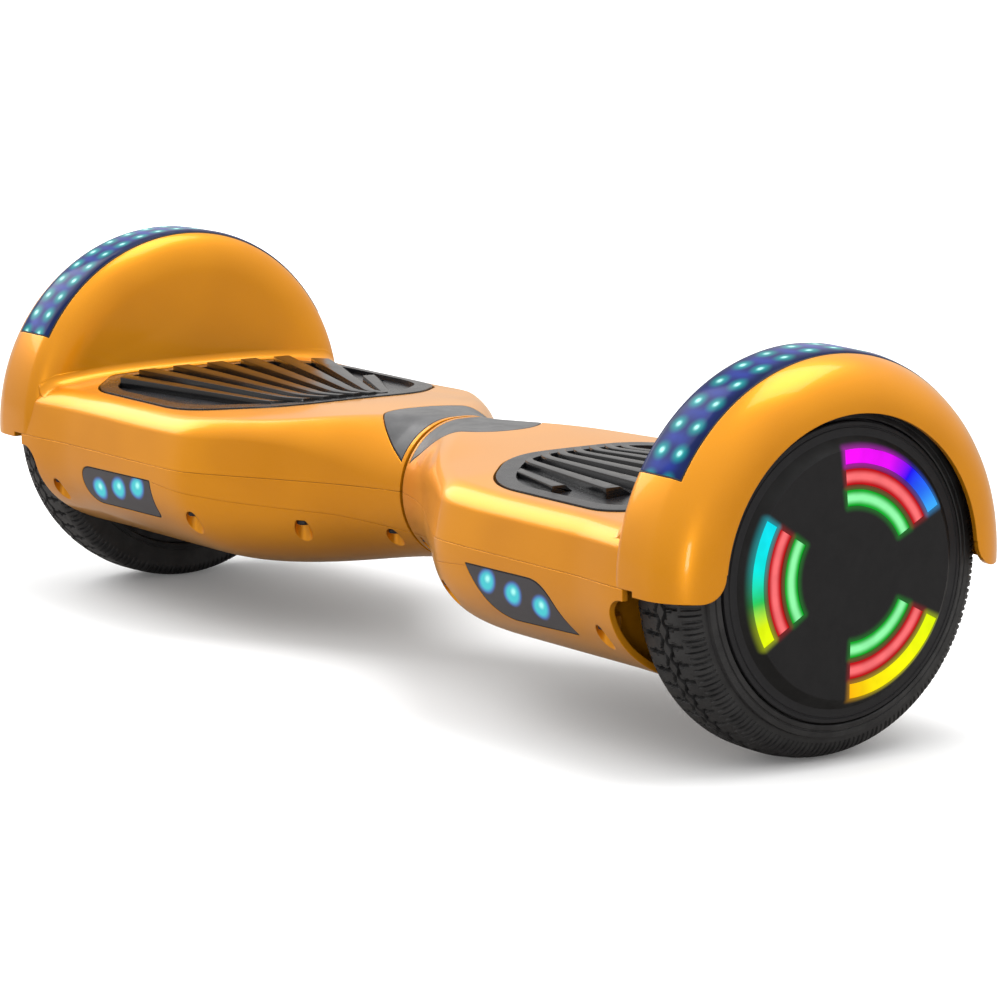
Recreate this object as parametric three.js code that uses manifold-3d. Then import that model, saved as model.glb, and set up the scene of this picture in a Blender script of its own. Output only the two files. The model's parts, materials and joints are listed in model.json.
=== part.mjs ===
// Self balancing hoverboard: two mirrored halves that twist about a centre pivot, each with a hub motor
// wheel.
// Millimetres, +Z up, the origin on the floor under the centre pivot, +X along the wheel axle,
// and the front of the board, with the headlights, towards -Y.
import * as THREE from "three";
import { mergeVertices } from "three/addons/utils/BufferGeometryUtils.js";
import { ParametricGeometry } from "three/addons/geometries/ParametricGeometry.js";
import Module from "manifold-3d";

const wasm = await Module();
wasm.setup();

// ---- Driving dimensions ---------------------------------------------------------------------------------
const TYRE_R = 85; // 6.5 inch wheel, so its axle is this high above the floor
const FENDER_R = 96; // outer radius of the mudguard about the axle
const HALF_SPAN = 292; // the board's centre to a mudguard's outer lip
const BODY_HALF_WIDTH = 93.5; // half of the platform's depth, front to back
const DECK_Z = 111.5; // top of the platform next to the wheels
const PARTING_Z = 83; // joint between the upper and lower shell
const BELLY_Z = 30; // underside of the lower shell
const PIVOT_Z = 82; // axis that the two halves twist about
const NECK_R = 34; // radius of both shells where the halves meet
const WALL = 2.6; // moulded shell thickness
const GAP = 0.3; // clearance between neighbouring pieces
const HEM_Z = 80.5; // lower edge of the mudguard
const FAR = 400; // beyond every surface of the board

const AXLE_Z = TYRE_R;
const MEETING_GAP = 1.2; // from the centre plane to the end of a half's shells
const DECK_END = 240; // where the platform reaches the mudguard
const WELL_WALL_X = 238.5; // the mudguard's inboard face
const TYRE_IN = 244; // tyre's inboard face
const TYRE_OUT = 283; // tyre's outboard face
const RIM_R = 66.8; // joint between tyre and rim
const STRIP_IN = 247; // edges of the light strip on the mudguard
const STRIP_OUT = 274;

// ---- Small helpers --------------------------------------------------------------------------------------
const radians = THREE.MathUtils.degToRad;

function solid(geometry) {
  const bare = geometry.clone();
  bare.deleteAttribute("normal");
  bare.deleteAttribute("uv");
  const merged = mergeVertices(bare, 1e-4);
  const index = merged.index.array;
  const kept = [];
  for (let i = 0; i < index.length; i += 3) {
    const [a, b, c] = [index[i], index[i + 1], index[i + 2]];
    if (a !== b && b !== c && c !== a) kept.push(a, b, c);
  }
  const vertProperties = new Float32Array(merged.attributes.position.array);
  return new wasm.Manifold(new wasm.Mesh({ numProp: 3, vertProperties, triVerts: new Uint32Array(kept) }));
}

function geometryOf(manifold) {
  const mesh = manifold.getMesh();
  const geometry = new THREE.BufferGeometry();
  geometry.setAttribute("position", new THREE.BufferAttribute(mesh.vertProperties, 3));
  geometry.setIndex(new THREE.BufferAttribute(mesh.triVerts, 1));
  geometry.computeVertexNormals();
  return geometry;
}

function joined(...parts) {
  return parts.reduce((sum, part) => sum.add(part));
}

function clamp01(value) {
  return Math.min(1, Math.max(0, value));
}

function smoothstep(start, end, value) {
  const t = clamp01((value - start) / (end - start));
  return t * t * (3 - 2 * t);
}

function softMax(a, b, softness) {
  return 0.5 * (a + b + Math.hypot(a - b, softness));
}

function softMin(a, b, softness) {
  return 0.5 * (a + b - Math.hypot(a - b, softness));
}

// A solid box from its lowest and highest corners.
function block(x0, y0, z0, x1, y1, z1) {
  const box = new THREE.BoxGeometry(x1 - x0, y1 - y0, z1 - z0);
  return solid(box.translate((x0 + x1) / 2, (y0 + y1) / 2, (z0 + z1) / 2));
}

// Turns drawn in the plane (radius, x) into a solid of revolution about the line y = 0, z = centreZ.
function turned(profile, centreZ, segments = 32) {
  const points = profile.map(([radius, x]) => new THREE.Vector2(radius, x));
  const lathe = new THREE.LatheGeometry(points, segments);
  lathe.rotateZ(-Math.PI / 2).rotateX(Math.PI / segments).translate(0, 0, centreZ);
  return outward(solid(lathe), () => solid(lathe.clone().scale(1, -1, 1)));
}

// Keeps a solid whose faces point out; otherwise uses its mirrored twin.
function outward(candidate, twin) {
  return candidate.volume() > 0 ? candidate : twin();
}

function disc(radius, x0, x1, centreZ, segments = 32) {
  const cylinder = new THREE.CylinderGeometry(radius, radius, x1 - x0, segments);
  cylinder.rotateZ(Math.PI / 2).rotateX(Math.PI / segments);
  return solid(cylinder.translate((x0 + x1) / 2, 0, centreZ));
}

function ring(outer, inner, x0, x1, centreZ, segments = 32) {
  return disc(outer, x0, x1, centreZ, segments).subtract(disc(inner, x0 - 1, x1 + 1, centreZ, segments));
}

// A round post along Z.
function post(radius, x, y, z0, z1, segments = 12) {
  const cylinder = new THREE.CylinderGeometry(radius, radius, z1 - z0, segments);
  return solid(cylinder.rotateX(Math.PI / 2).translate(x, y, (z0 + z1) / 2));
}

// Extrudes a shape drawn in (x, y) between two heights.
function slab(shape, z0, z1, curveSegments = 3) {
  const options = { depth: z1 - z0, bevelEnabled: false, curveSegments };
  return solid(new THREE.ExtrudeGeometry(shape, options).translate(0, 0, z0));
}

// Extrudes a shape drawn in (y, z) between two x positions.
function plateAlongX(shape, x0, x1, curveSegments = 12) {
  const options = { depth: x1 - x0, bevelEnabled: false, curveSegments };
  const geometry = new THREE.ExtrudeGeometry(shape, options);
  const toBoard = new THREE.Matrix4().makeBasis(
    new THREE.Vector3(0, 1, 0), new THREE.Vector3(0, 0, 1), new THREE.Vector3(1, 0, 0));
  return solid(geometry.applyMatrix4(toBoard).translate(x0, 0, 0));
}

// Part of a ring in the (y, z) plane about the axle; angles in degrees from +Y towards +Z.
function sector(inner, outer, startDeg, endDeg, x0, x1, segments = 12) {
  const shape = new THREE.Shape();
  shape.absarc(0, 0, outer, radians(startDeg), radians(endDeg), false);
  shape.absarc(0, 0, inner, radians(endDeg), radians(startDeg), true);
  return plateAlongX(shape, x0, x1, segments).translate([0, 0, AXLE_Z]);
}

// A closed outline through corner points [x, y, cut]: each corner is rounded from a distance cut before it to
// the same distance after it, or less where its sides are short.
function roundedOutline(corners) {
  const shape = new THREE.Shape();
  const count = corners.length;
  corners.forEach(([x, y, cut], i) => {
    const corner = new THREE.Vector2(x, y);
    const toPrevious = new THREE.Vector2(...corners[(i + count - 1) % count]).sub(corner);
    const toNext = new THREE.Vector2(...corners[(i + 1) % count]).sub(corner);
    const reach = Math.min(cut, 0.48 * toPrevious.length(), 0.48 * toNext.length());
    const before = toPrevious.setLength(reach).add(corner);
    const after = toNext.setLength(reach).add(corner);
    if (i === 0) shape.moveTo(before.x, before.y);
    else shape.lineTo(before.x, before.y);
    shape.quadraticCurveTo(x, y, after.x, after.y);
  });
  shape.closePath();
  return shape;
}

// A round cable along a smooth curve.
function cable(points, radius, steps = 14) {
  const path = new THREE.CatmullRomCurve3(points.map((p) => new THREE.Vector3(...p)));
  const outline = new THREE.Shape().absarc(0, 0, radius, 0, 2 * Math.PI, false);
  const options = { extrudePath: path, steps, curveSegments: 4, bevelEnabled: false };
  return solid(new THREE.ExtrudeGeometry(outline, options));
}

// ---- Body surface ---------------------------------------------------------------------------------------
// Every cross-section of a half is a rounded box above the parting plane and a rounded belly below it.
// It changes from a circle at the centre joint to the wide platform. u is the distance from the centre plane.
const EDGE_R = 10; // rounding of the platform's top edge
const CROWN = 5; // how far the deck falls towards its front and back edges
const SIDE_LEAN = 5; // how far the sides lean in towards the deck
const FLARE = 2.4; // how far the sides widen to meet the mudguard
const FLARE_START = 210;

function halfWidth(u) {
  const neck = NECK_R - 0.5 + 0.25 * u;
  const taper = BODY_HALF_WIDTH - 0.66 * (108 - u);
  const flare = FLARE * smoothstep(FLARE_START, STRIP_IN, u);
  return softMin(softMax(neck, taper, 10), BODY_HALF_WIDTH, 5) + flare;
}

function deckHeight(u) {
  const neckTop = PIVOT_Z + NECK_R;
  return neckTop + (DECK_Z - neckTop) * smoothstep(0, 150, u) - PARTING_Z;
}

function bellyDepth(u) {
  const neckBottom = PIVOT_Z - NECK_R;
  return PARTING_Z - neckBottom + (neckBottom - BELLY_Z) * smoothstep(-15, 125, u);
}

function edgeRadius(u) {
  return EDGE_R + (NECK_R - EDGE_R) * (1 - smoothstep(2, 90, u)) ** 1.4;
}

// A quarter of the section above the parting plane, for s from 0 at the side to 1 at the middle of the deck.
function upperQuarter(u, s, inset) {
  const width = halfWidth(u) - inset;
  const height = deckHeight(u) - inset;
  const radius = Math.max(1, Math.min(edgeRadius(u), height + inset, width + inset) - inset);
  const [sideEnd, arcEnd] = [1 / 6, 4 / 6];
  let [y, z] = [width, (height - radius) * Math.min(1, s / sideEnd)];
  if (s > sideEnd) {
    const angle = Math.min(1, (s - sideEnd) / (arcEnd - sideEnd)) * (Math.PI / 2);
    y = width - radius + radius * Math.cos(angle);
    z = height - radius + radius * Math.sin(angle);
  }
  if (s > arcEnd) y = (width - radius) * (1 - (s - arcEnd) / (1 - arcEnd));
  const rise = z / height;
  const lean = SIDE_LEAN * smoothstep(30, 110, u) * rise;
  const fall = CROWN * smoothstep(10, 80, u) * (y / width) ** 3 * rise;
  return [Math.max(0, y - lean * Math.min(1, y / (width - radius))), z - fall];
}

// A quarter of the section below the parting plane, for s from 0 at the side to 1 at the middle of the belly.
function lowerQuarter(u, s, inset) {
  const power = 2 / (2 + 0.4 * smoothstep(10, 100, u));
  const angle = (s * Math.PI) / 2;
  const y = (halfWidth(u) - inset) * Math.cos(angle) ** power;
  const z = (bellyDepth(u) - inset) * Math.sin(angle) ** power;
  return [s === 1 ? 0 : y, -z];
}

// The section's point for t from 0 to 1 around the section, starting at the middle of the deck.
function sectionPoint(u, t, inset) {
  const quarter = Math.min(3, Math.floor(t * 4));
  const s = t * 4 - quarter;
  if (quarter === 0) return upperQuarter(u, 1 - s, inset);
  if (quarter === 1) return lowerQuarter(u, s, inset);
  if (quarter === 2) {
    const [y, z] = lowerQuarter(u, 1 - s, inset);
    return [-y, z];
  }
  const [y, z] = upperQuarter(u, s, inset);
  return [-y, z];
}

// Solid inside the body surface, moved in by inset, with sections at the given stations.
function bodySolid(stations, inset, around = 24) {
  const rows = [stations[0], ...stations, stations.at(-1)];
  const last = rows.length - 1;
  const surface = (v, t, target) => {
    const row = Math.round(v * last);
    const u = rows[row];
    const turn = Math.round(t * around) / around;
    const [y, z] = row === 0 || row === last ? [0, 0] : sectionPoint(u, turn % 1, inset);
    target.set(u, y, PARTING_Z + z);
  };
  const flipped = (v, t, target) => surface(v, 1 - t, target);
  return outward(solid(new ParametricGeometry(surface, last, around)),
    () => solid(new ParametricGeometry(flipped, last, around)));
}

const TRIM_STATIONS = [16, 30, 44, 58]; // sections shared by the neck trim and the shell around it
const NECK_STATIONS = [...TRIM_STATIONS, 72, 86, 100, 114];

// ---- Shell outlines -------------------------------------------------------------------------------------
const TRIM_LENGTH = 41.5; // how far the neck trim reaches from the centre
const TRIM_HALF_WIDTH = 33;
const TRIM_ROUNDNESS = 2 / 2.3; // power of the oval that the trim's outline follows

// Plan outline of the grey neck trim: half of a rounded oval, grown by the given amount.
function trimOutline(grow) {
  const steps = 10;
  const start = MEETING_GAP + 2.2 - grow;
  const points = [];
  for (let i = 0; i <= steps; i += 1) {
    const angle = -Math.PI / 2 + (Math.PI * i) / steps;
    const x = (TRIM_LENGTH + grow) * Math.cos(angle) ** TRIM_ROUNDNESS;
    const side = Math.sin(angle);
    const y = (TRIM_HALF_WIDTH + grow) * Math.sign(side) * Math.abs(side) ** TRIM_ROUNDNESS;
    points.push(new THREE.Vector2(Math.max(x, start), y));
  }
  return new THREE.Shape(points);
}

// Plan outline of the foot pad, with cut corners next to the wheel and a taper towards the neck.
function padOutline(inset) {
  const [outX, inX, sideY] = [236 - inset, 89 + inset, 76 - inset];
  const chamfer = 23;
  const taper = 37;
  return roundedOutline([
    [outX, -sideY + chamfer, 2], [outX - chamfer, -sideY, 12],
    [inX + taper, -sideY, 18], [inX, -sideY + taper, 18],
    [inX, sideY - taper, 18], [inX + taper, sideY, 18],
    [outX - chamfer, sideY, 12], [outX, sideY - chamfer, 2],
  ]);
}

// Front outline of the left headlight, drawn in (x, z): a bar with a rounded outboard end.
function leftHeadlight(inset) {
  return roundedOutline([
    [134.8 + inset, 74.5 - inset, 1], [199.5 - inset, 73.5 - inset, 12], [199.5 - inset, 55 + inset, 12],
    [134.8 + inset, 55.8 + inset, 4],
  ]);
}

// Front outline of the right headlight, drawn in (x, z): a leaf with a sharp inboard top corner.
function rightHeadlight(inset) {
  return roundedOutline([
    [132.5 + inset, 75.3 - inset, 1], [190 - inset, 76 - inset, 11], [205.5 - inset, 54 + inset, 2],
    [147 + inset, 52 + inset, 12],
  ]);
}

// ---- Foot pad -------------------------------------------------------------------------------------------
const PAD_STEP = 0.6; // how far the pad stands above the deck
const PAD_BOTTOM = DECK_Z - 4.8;
const PAD_TOP = DECK_Z + PAD_STEP;
const PAD_STATIONS = [80, 100, 120, 150, DECK_END]; // sections of the deck under the pad
const RIB_HEIGHT = 2.8;
const RIB_PITCH = 20; // spacing of the ribs next to the wheel
const MIDDLE_RIB = 3;
const FAN_X = -4; // the ribs fan out from this point
const FAN_Y = -23;
const SENSOR_POST_X = 165;
const SENSOR_POST_Y = 48;

// The front edge of a rib at distance x from the centre; near its inboard end it hooks towards the back.
function ribFront(index, x) {
  const outboardY = -61 + RIB_PITCH * index;
  const spread = (x - FAN_X) / (220 - FAN_X);
  const hook = 0.03 * Math.max(0, 112 - x) ** 2;
  return FAN_Y + (outboardY - FAN_Y) * spread + hook;
}

function padRib(index, fromX, toX) {
  const steps = 5;
  const shape = new THREE.Shape();
  const xs = Array.from({ length: steps + 1 }, (_, i) => fromX + ((toX - fromX) * i) / steps);
  const width = (x) => 0.5 + (0.42 * RIB_PITCH * (x - FAN_X)) / (220 - FAN_X) * smoothstep(88, 104, x);
  shape.moveTo(xs[0], ribFront(index, xs[0]));
  xs.slice(1).forEach((x) => shape.lineTo(x, ribFront(index, x)));
  xs.reverse().forEach((x) => shape.lineTo(x, ribFront(index, x) + width(x)));
  shape.closePath();
  const fall = CROWN * ((Math.abs(index - MIDDLE_RIB) * RIB_PITCH) / BODY_HALF_WIDTH) ** 3;
  return slab(shape, PAD_BOTTOM + 1, PAD_TOP + RIB_HEIGHT - fall);
}

function footpad(shortRib) {
  const ribs = [shortRib];
  for (let index = 0; index < 7; index += 1) ribs.push(padRib(index, 97, 224));
  const posts = [-1, 1].map((side) => post(5, SENSOR_POST_X, side * SENSOR_POST_Y, 100.4, PAD_BOTTOM + 1));
  const plateTop = bodySolid(PAD_STATIONS, -PAD_STEP, CAVITY_AROUND);
  const plate = slab(padOutline(0.5), PAD_BOTTOM, FAR).intersect(plateTop);
  const field = slab(padOutline(7), PAD_BOTTOM, PAD_TOP + RIB_HEIGHT + 1);
  return joined(plate, joined(...ribs).intersect(field), ...posts);
}

// ---- Mudguard -------------------------------------------------------------------------------------------
const FENDER_SEGMENTS = 32;
const STRIP_START_DEG = 30;
const LIP_R = 70.5;
const WELL_R = 91.5; // inner radius of the mudguard
const LENS_INNER_R = 93.2; // inner radius of the strip lens
const LIP_ROUNDING = 12; // rounding of the lip's lower corners, seen from the side

// Quarter of an ellipse from (r0, x0) to (r1, x1) in the plane (radius, x).
function quarterArc(r0, x0, r1, x1, steps, bulgeFirst) {
  const points = [];
  for (let i = 1; i <= steps; i += 1) {
    const angle = (Math.PI / 2) * (i / steps);
    const [rise, run] = [Math.sin(angle), 1 - Math.cos(angle)];
    const [along, across] = bulgeFirst ? [rise, run] : [run, rise];
    points.push([r0 + (r1 - r0) * along, x0 + (x1 - x0) * across]);
  }
  return points;
}

function fenderSolid(grow) {
  const shoulderR = 74;
  const profile = [[0, WELL_WALL_X], [shoulderR, WELL_WALL_X],
    ...quarterArc(shoulderR, WELL_WALL_X, FENDER_R + grow, STRIP_IN + 3, 3, true),
    [FENDER_R + grow, STRIP_OUT - 8],
    ...quarterArc(FENDER_R + grow, STRIP_OUT - 8, LIP_R, HALF_SPAN, 3, false),
    [0, HALF_SPAN]];
  return turned(profile, AXLE_Z, FENDER_SEGMENTS);
}

function wheelWell() {
  const start = WELL_WALL_X + 2.4;
  const profile = [[0, start], [71, start],
    ...quarterArc(71, start, WELL_R, STRIP_IN + 5, 2, true),
    [WELL_R, STRIP_OUT - 10],
    ...quarterArc(WELL_R, STRIP_OUT - 10, LIP_R, HALF_SPAN - 2.6, 2, false),
    [LIP_R, HALF_SPAN + 5], [0, HALF_SPAN + 5]];
  return turned(profile, AXLE_Z, FENDER_SEGMENTS);
}

// What the two rounded lower corners of the lip leave out.
function lipCorners() {
  const reach = LIP_R + LIP_ROUNDING;
  const [bottom, middle] = [HEM_Z - 10, HEM_Z + LIP_ROUNDING];
  const shape = new THREE.Shape();
  shape.moveTo(LIP_R - 10, bottom);
  shape.lineTo(reach, bottom);
  shape.absarc(reach, middle, LIP_ROUNDING, -Math.PI / 2, -Math.PI, true);
  shape.lineTo(LIP_R - 10, middle);
  shape.closePath();
  const corner = plateAlongX(shape, STRIP_OUT, HALF_SPAN + 5, 4);
  return corner.add(corner.mirror([0, 1, 0]));
}

function stripSector(inner, outer, grow) {
  const margin = (grow / FENDER_R) * THREE.MathUtils.RAD2DEG;
  return sector(inner, outer, STRIP_START_DEG - margin, 180 - STRIP_START_DEG + margin,
    STRIP_IN - grow, STRIP_OUT + grow);
}

// ---- Shells ---------------------------------------------------------------------------------------------
const SHELL_STATIONS = [MEETING_GAP, ...NECK_STATIONS, FLARE_START, 228, DECK_END];
const CAVITY_STATIONS = [-2, 30, 58, 86, 108, FLARE_START];
const CAVITY_AROUND = 16;
const ARCH_END = 252; // how far the lower shell reaches over the tyre, just under the parting joint
const ARCH_Z = 77.5;
const SCREW_XS = [58, 108, 228];
const SCREW_TOP_Z = 63; // how far the screw pockets reach up into the lower shell

const outerBody = bodySolid(SHELL_STATIONS, 0);

function screwY(x) {
  const drop = (PARTING_Z - SCREW_TOP_Z) / bellyDepth(x);
  const power = 2 + 0.4 * smoothstep(10, 100, x);
  return halfWidth(x) * (1 - drop ** power) ** (1 / power) - 4.6;
}

function upperShell() {
  const cavity = bodySolid([...CAVITY_STATIONS, WELL_WALL_X - 4], WALL, CAVITY_AROUND);
  const hem = joined(
    block(-1, -FAR, PARTING_Z + GAP / 2, 260, FAR, FAR),
    block(259, -FAR, HEM_Z, FAR, FAR, FAR));
  const bridge = bodySolid([WELL_WALL_X - 8, DECK_END, STRIP_IN + 2], 0);
  const fender = joined(fenderSolid(0), bridge).subtract(joined(wheelWell(), lipCorners()));
  const opening = stripSector(FENDER_R - 10, FENDER_R + 5, -3);
  const pocket = stripSector(LENS_INNER_R - GAP, FENDER_R + 5, GAP);
  const recessFloor = PAD_BOTTOM - 1.3;
  const padTray = slab(padOutline(-2), recessFloor - WALL, FAR).intersect(outerBody);
  const trimTray = slab(trimOutline(2), 96, DECK_Z + 8)
    .intersect(outerBody)
    .subtract(bodySolid([-2, ...TRIM_STATIONS, 59], 4.8, CAVITY_AROUND));
  const trimPocket = slab(trimOutline(GAP), 94, FAR).subtract(bodySolid([-2, ...TRIM_STATIONS], 2.3));
  const sensorHoles = [-1, 1].map((side) => post(6.5, SENSOR_POST_X, side * SENSOR_POST_Y, 90, FAR));
  const inboard = block(0, -FAR, 0, WELL_WALL_X - 1, FAR, FAR);
  const deckPocket = slab(padOutline(0), recessFloor, FAR).intersect(inboard);
  return joined(outerBody.subtract(cavity), padTray, trimTray, fender)
    .intersect(hem)
    .subtract(joined(deckPocket, ...sensorHoles))
    .subtract(trimPocket)
    .subtract(disc(14, 230, 250, AXLE_Z, 20))
    .subtract(joined(opening, pocket));
}

function neckTrim() {
  const skin = bodySolid([-2, ...TRIM_STATIONS], 0).subtract(bodySolid([-3, ...TRIM_STATIONS], 2));
  return skin.intersect(slab(trimOutline(-GAP), 94 + GAP, FAR));
}

function lowerShell(headlight) {
  const cavity = bodySolid([...CAVITY_STATIONS, 226], WALL, CAVITY_AROUND);
  const wheelRecess = bodySolid([229, 250], WALL + 0.4, CAVITY_AROUND);
  const below = block(-1, -FAR, -FAR, FAR, FAR, PARTING_Z - GAP / 2);
  const bosses = [];
  const pockets = [];
  for (const x of SCREW_XS) {
    for (const side of [-1, 1]) {
      const y = side * screwY(x);
      bosses.push(post(6.6, x, y, BELLY_Z - 5, SCREW_TOP_Z + 4, 8));
      pockets.push(post(4.4, x, y, 0, SCREW_TOP_Z, 10));
    }
  }
  const shell = outerBody.subtract(cavity).subtract(wheelRecess);
  const archLip = bodySolid([DECK_END - 4, STRIP_IN, ARCH_END], 0)
    .subtract(bodySolid([DECK_END - 8, STRIP_IN, ARCH_END + 5], WALL + 0.4))
    .intersect(block(0, -FAR, ARCH_Z, FAR, FAR, FAR));
  return joined(shell, archLip, joined(...bosses).intersect(outerBody))
    .intersect(below)
    .subtract(joined(...pockets))
    .subtract(frontPrism(headlight(-GAP), 60))
    .subtract(disc(14, 220, 250, AXLE_Z, 20));
}

// ---- Headlights -----------------------------------------------------------------------------------------
// Extrudes a shape drawn in (x, z) through the front of the body.
function frontPrism(shape, depthY) {
  const geometry = new THREE.ExtrudeGeometry(shape, { depth: 100, bevelEnabled: false, curveSegments: 5 });
  return solid(geometry.rotateX(Math.PI / 2).translate(0, -depthY, 0));
}

const LENS_STATIONS = [126, 215];

function headlightLens(headlight) {
  return bodySolid(LENS_STATIONS, 0).subtract(bodySolid([120, 220], 2.2))
    .intersect(frontPrism(headlight(0), 60));
}

function headlightBoard() {
  const board = block(140, -70.5, 56, 198, -69, 74);
  const lamps = [149, 167, 185].map((x) => block(x - 2.5, -74, 62, x + 2.5, -70, 67));
  return joined(board, ...lamps);
}

// ---- Light strip ----------------------------------------------------------------------------------------
const STRIP_LAMPS = 9;

function stripLens() {
  return stripSector(LENS_INNER_R, FENDER_R + 2, 0).intersect(fenderSolid(0.2));
}

function stripBoard() {
  const start = STRIP_START_DEG + 4;
  const board = sector(WELL_R - 2.6, WELL_R - 1.4, start, 180 - start, 252, 269, 9);
  const lamps = [];
  for (let i = 0; i < STRIP_LAMPS; i += 1) {
    const angle = start + 4 + ((172 - 2 * start) * i) / (STRIP_LAMPS - 1);
    const lampPair = new THREE.BoxGeometry(13, 3.5, 1.6).translate(0, 0, WELL_R - 1);
    lamps.push(solid(lampPair.rotateX(radians(angle - 90)).translate(260.5, 0, AXLE_Z)));
  }
  return joined(board, ...lamps);
}

// ---- Wheel ----------------------------------------------------------------------------------------------
const AXLE_R = 8;
const DISC_X = 290; // outer face of the wheel cover's raised disc
const DISC_R = 55.6;
const RUN = 0.3; // clearance of turning parts
const WHEEL_SEGMENTS = 24; // the wheel's nested rings share their facets

function tyre() {
  const treadR = TYRE_R / Math.cos(Math.PI / WHEEL_SEGMENTS); // so that a flat of the tread touches the floor
  const profile = [[RIM_R + GAP, TYRE_IN + 4], [RIM_R + 1.5, TYRE_IN + 0.4], [74, TYRE_IN],
    [79.5, TYRE_IN + 1.5], [83.4, TYRE_IN + 6.5], [treadR, TYRE_IN + 14], [treadR, TYRE_OUT - 17],
    ...quarterArc(treadR, TYRE_OUT - 17, 73.5, TYRE_OUT - 2, 3, false),
    [72.5, TYRE_OUT], [RIM_R + 1.5, TYRE_OUT - 0.4],
    [RIM_R + GAP, TYRE_OUT - 4], [RIM_R - 3.7, TYRE_OUT - 8], [RIM_R - 3.7, TYRE_IN + 8]];
  return turned([...profile, profile[0]], AXLE_Z, WHEEL_SEGMENTS);
}

function wheelRim() {
  const wellR = RIM_R - 4;
  const profile = [[11.3, 275], [11.3, 279], [60, 279], [RIM_R - 2, 281.5], [RIM_R, 281.5],
    [RIM_R, TYRE_OUT - 4], [wellR, TYRE_OUT - 8], [wellR, TYRE_IN + 8],
    [RIM_R, TYRE_IN + 4], [RIM_R, TYRE_IN + 2], [59.6, TYRE_IN + 2], [59.6, 275]];
  return turned([...profile, profile[0]], AXLE_Z, WHEEL_SEGMENTS);
}

function hubCover() {
  const profile = [[17.3, 246.6], [17.3, 255], [21, 255], [21, 250], [59.2, 250], [59.2, 246.6]];
  return turned([...profile, profile[0]], AXLE_Z, WHEEL_SEGMENTS);
}

const ARC_SPANS_DEG = [[28, 95], [149, 212], [270, 333]];
const ARC_RADII = [[30, 37], [39.3, 46.3], [48.6, 55]];

function arcSectors(grow, x0, x1) {
  const arcs = [];
  for (const [start, end] of ARC_SPANS_DEG) {
    for (const [inner, outer] of ARC_RADII) {
      const margin = (grow / outer) * THREE.MathUtils.RAD2DEG;
      arcs.push(sector(inner - grow, outer + grow, start - margin, end + margin, x0, x1, 3));
    }
  }
  return joined(...arcs);
}

function wheelCover() {
  const profile = [[0, 287], [DISC_R - 0.6, 287], [59, 282.6], [RIM_R - GAP, 282.2], [RIM_R - GAP, 285],
    [60, 285.5], [DISC_R, DISC_X - 0.4], [DISC_R - 0.6, DISC_X], [0, DISC_X]];
  return turned(profile, AXLE_Z, WHEEL_SEGMENTS).subtract(arcSectors(0.15, 280, 300));
}

function wheelLights() {
  const plate = disc(54.4, 282.5, 286.6, AXLE_Z, 20);
  return joined(plate, arcSectors(-0.2, 286, DISC_X - 0.6));
}

// Stator drawn in (y, z): a hub with T-shaped poles around it.
function stator() {
  const poles = 9;
  const shape = new THREE.Shape();
  const poleCorners = [[34, -4], [48, -4], [48, -12], [52, -12], [52, 12], [48, 12], [48, 4], [34, 4]];
  for (let i = 0; i < poles; i += 1) {
    const turn = (2 * Math.PI * i) / poles;
    for (const [reach, side] of poleCorners) {
      const corner = new THREE.Vector2(reach, side).rotateAround(new THREE.Vector2(), turn);
      if (i === 0 && reach === 34 && side < 0) shape.moveTo(corner.x, corner.y);
      else shape.lineTo(corner.x, corner.y);
    }
  }
  shape.closePath();
  shape.holes.push(new THREE.Path().absarc(0, 0, AXLE_R + GAP, 0, 2 * Math.PI, true));
  return plateAlongX(shape, 256, 272, 8).translate([0, 0, AXLE_Z]);
}

function axle() {
  return joined(disc(AXLE_R, 196, 281.6, AXLE_Z, 16), ring(11, 7, 242, 246, AXLE_Z, 16))
    .subtract(disc(3.6, 190, 240, AXLE_Z, 8));
}

// ---- Frame ----------------------------------------------------------------------------------------------
const FRAME_Z = 74;
const TUBE_R = 12;
const SLEEVE_R = 18;
const SADDLE_X = [200, 225];
const TROUGH_R = AXLE_R + GAP;

function frame(boreR) {
  const plate = slab(roundedOutline([
    [22, -20, 3], [70, -24, 10], [104, -60, 12], [SADDLE_X[1], -60, 8],
    [SADDLE_X[1], 60, 8], [104, 60, 12], [70, 24, 10], [22, 20, 3],
  ]), FRAME_Z - 4, FRAME_Z);
  const sleeve = disc(SLEEVE_R, 14, 74, PIVOT_Z, 16);
  const saddle = block(SADDLE_X[0], -24, FRAME_Z - 5, SADDLE_X[1], 24, AXLE_Z - GAP);
  const ribs = [-44, 44].map((y) => block(100, y - 1.5, FRAME_Z - 1, 222, y + 1.5, FRAME_Z + 7));
  return joined(plate, sleeve, saddle, ...ribs)
    .subtract(disc(boreR, 10, 80, PIVOT_Z, 16))
    .subtract(disc(16, 74, 79, PIVOT_Z, 16))
    .subtract(disc(TROUGH_R, 190, 230, AXLE_Z, 16))
    .subtract(joined(...[-17, 17].map((y) => post(2.2, 212, y, FRAME_Z - 3, FAR, 8))));
}

function axleClamp() {
  return block(SADDLE_X[0], -24, AXLE_Z + GAP, SADDLE_X[1], 24, AXLE_Z + 12)
    .subtract(disc(TROUGH_R, 190, 230, AXLE_Z, 16))
    .subtract(joined(...[-17, 17].map((y) => post(2.8, 212, y, 0, FAR, 8))));
}

function clampScrew(y) {
  return joined(post(2, 212, y, FRAME_Z - 2, AXLE_Z + 13), post(4.4, 212, y, AXLE_Z + 12 + GAP, AXLE_Z + 16));
}

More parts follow.
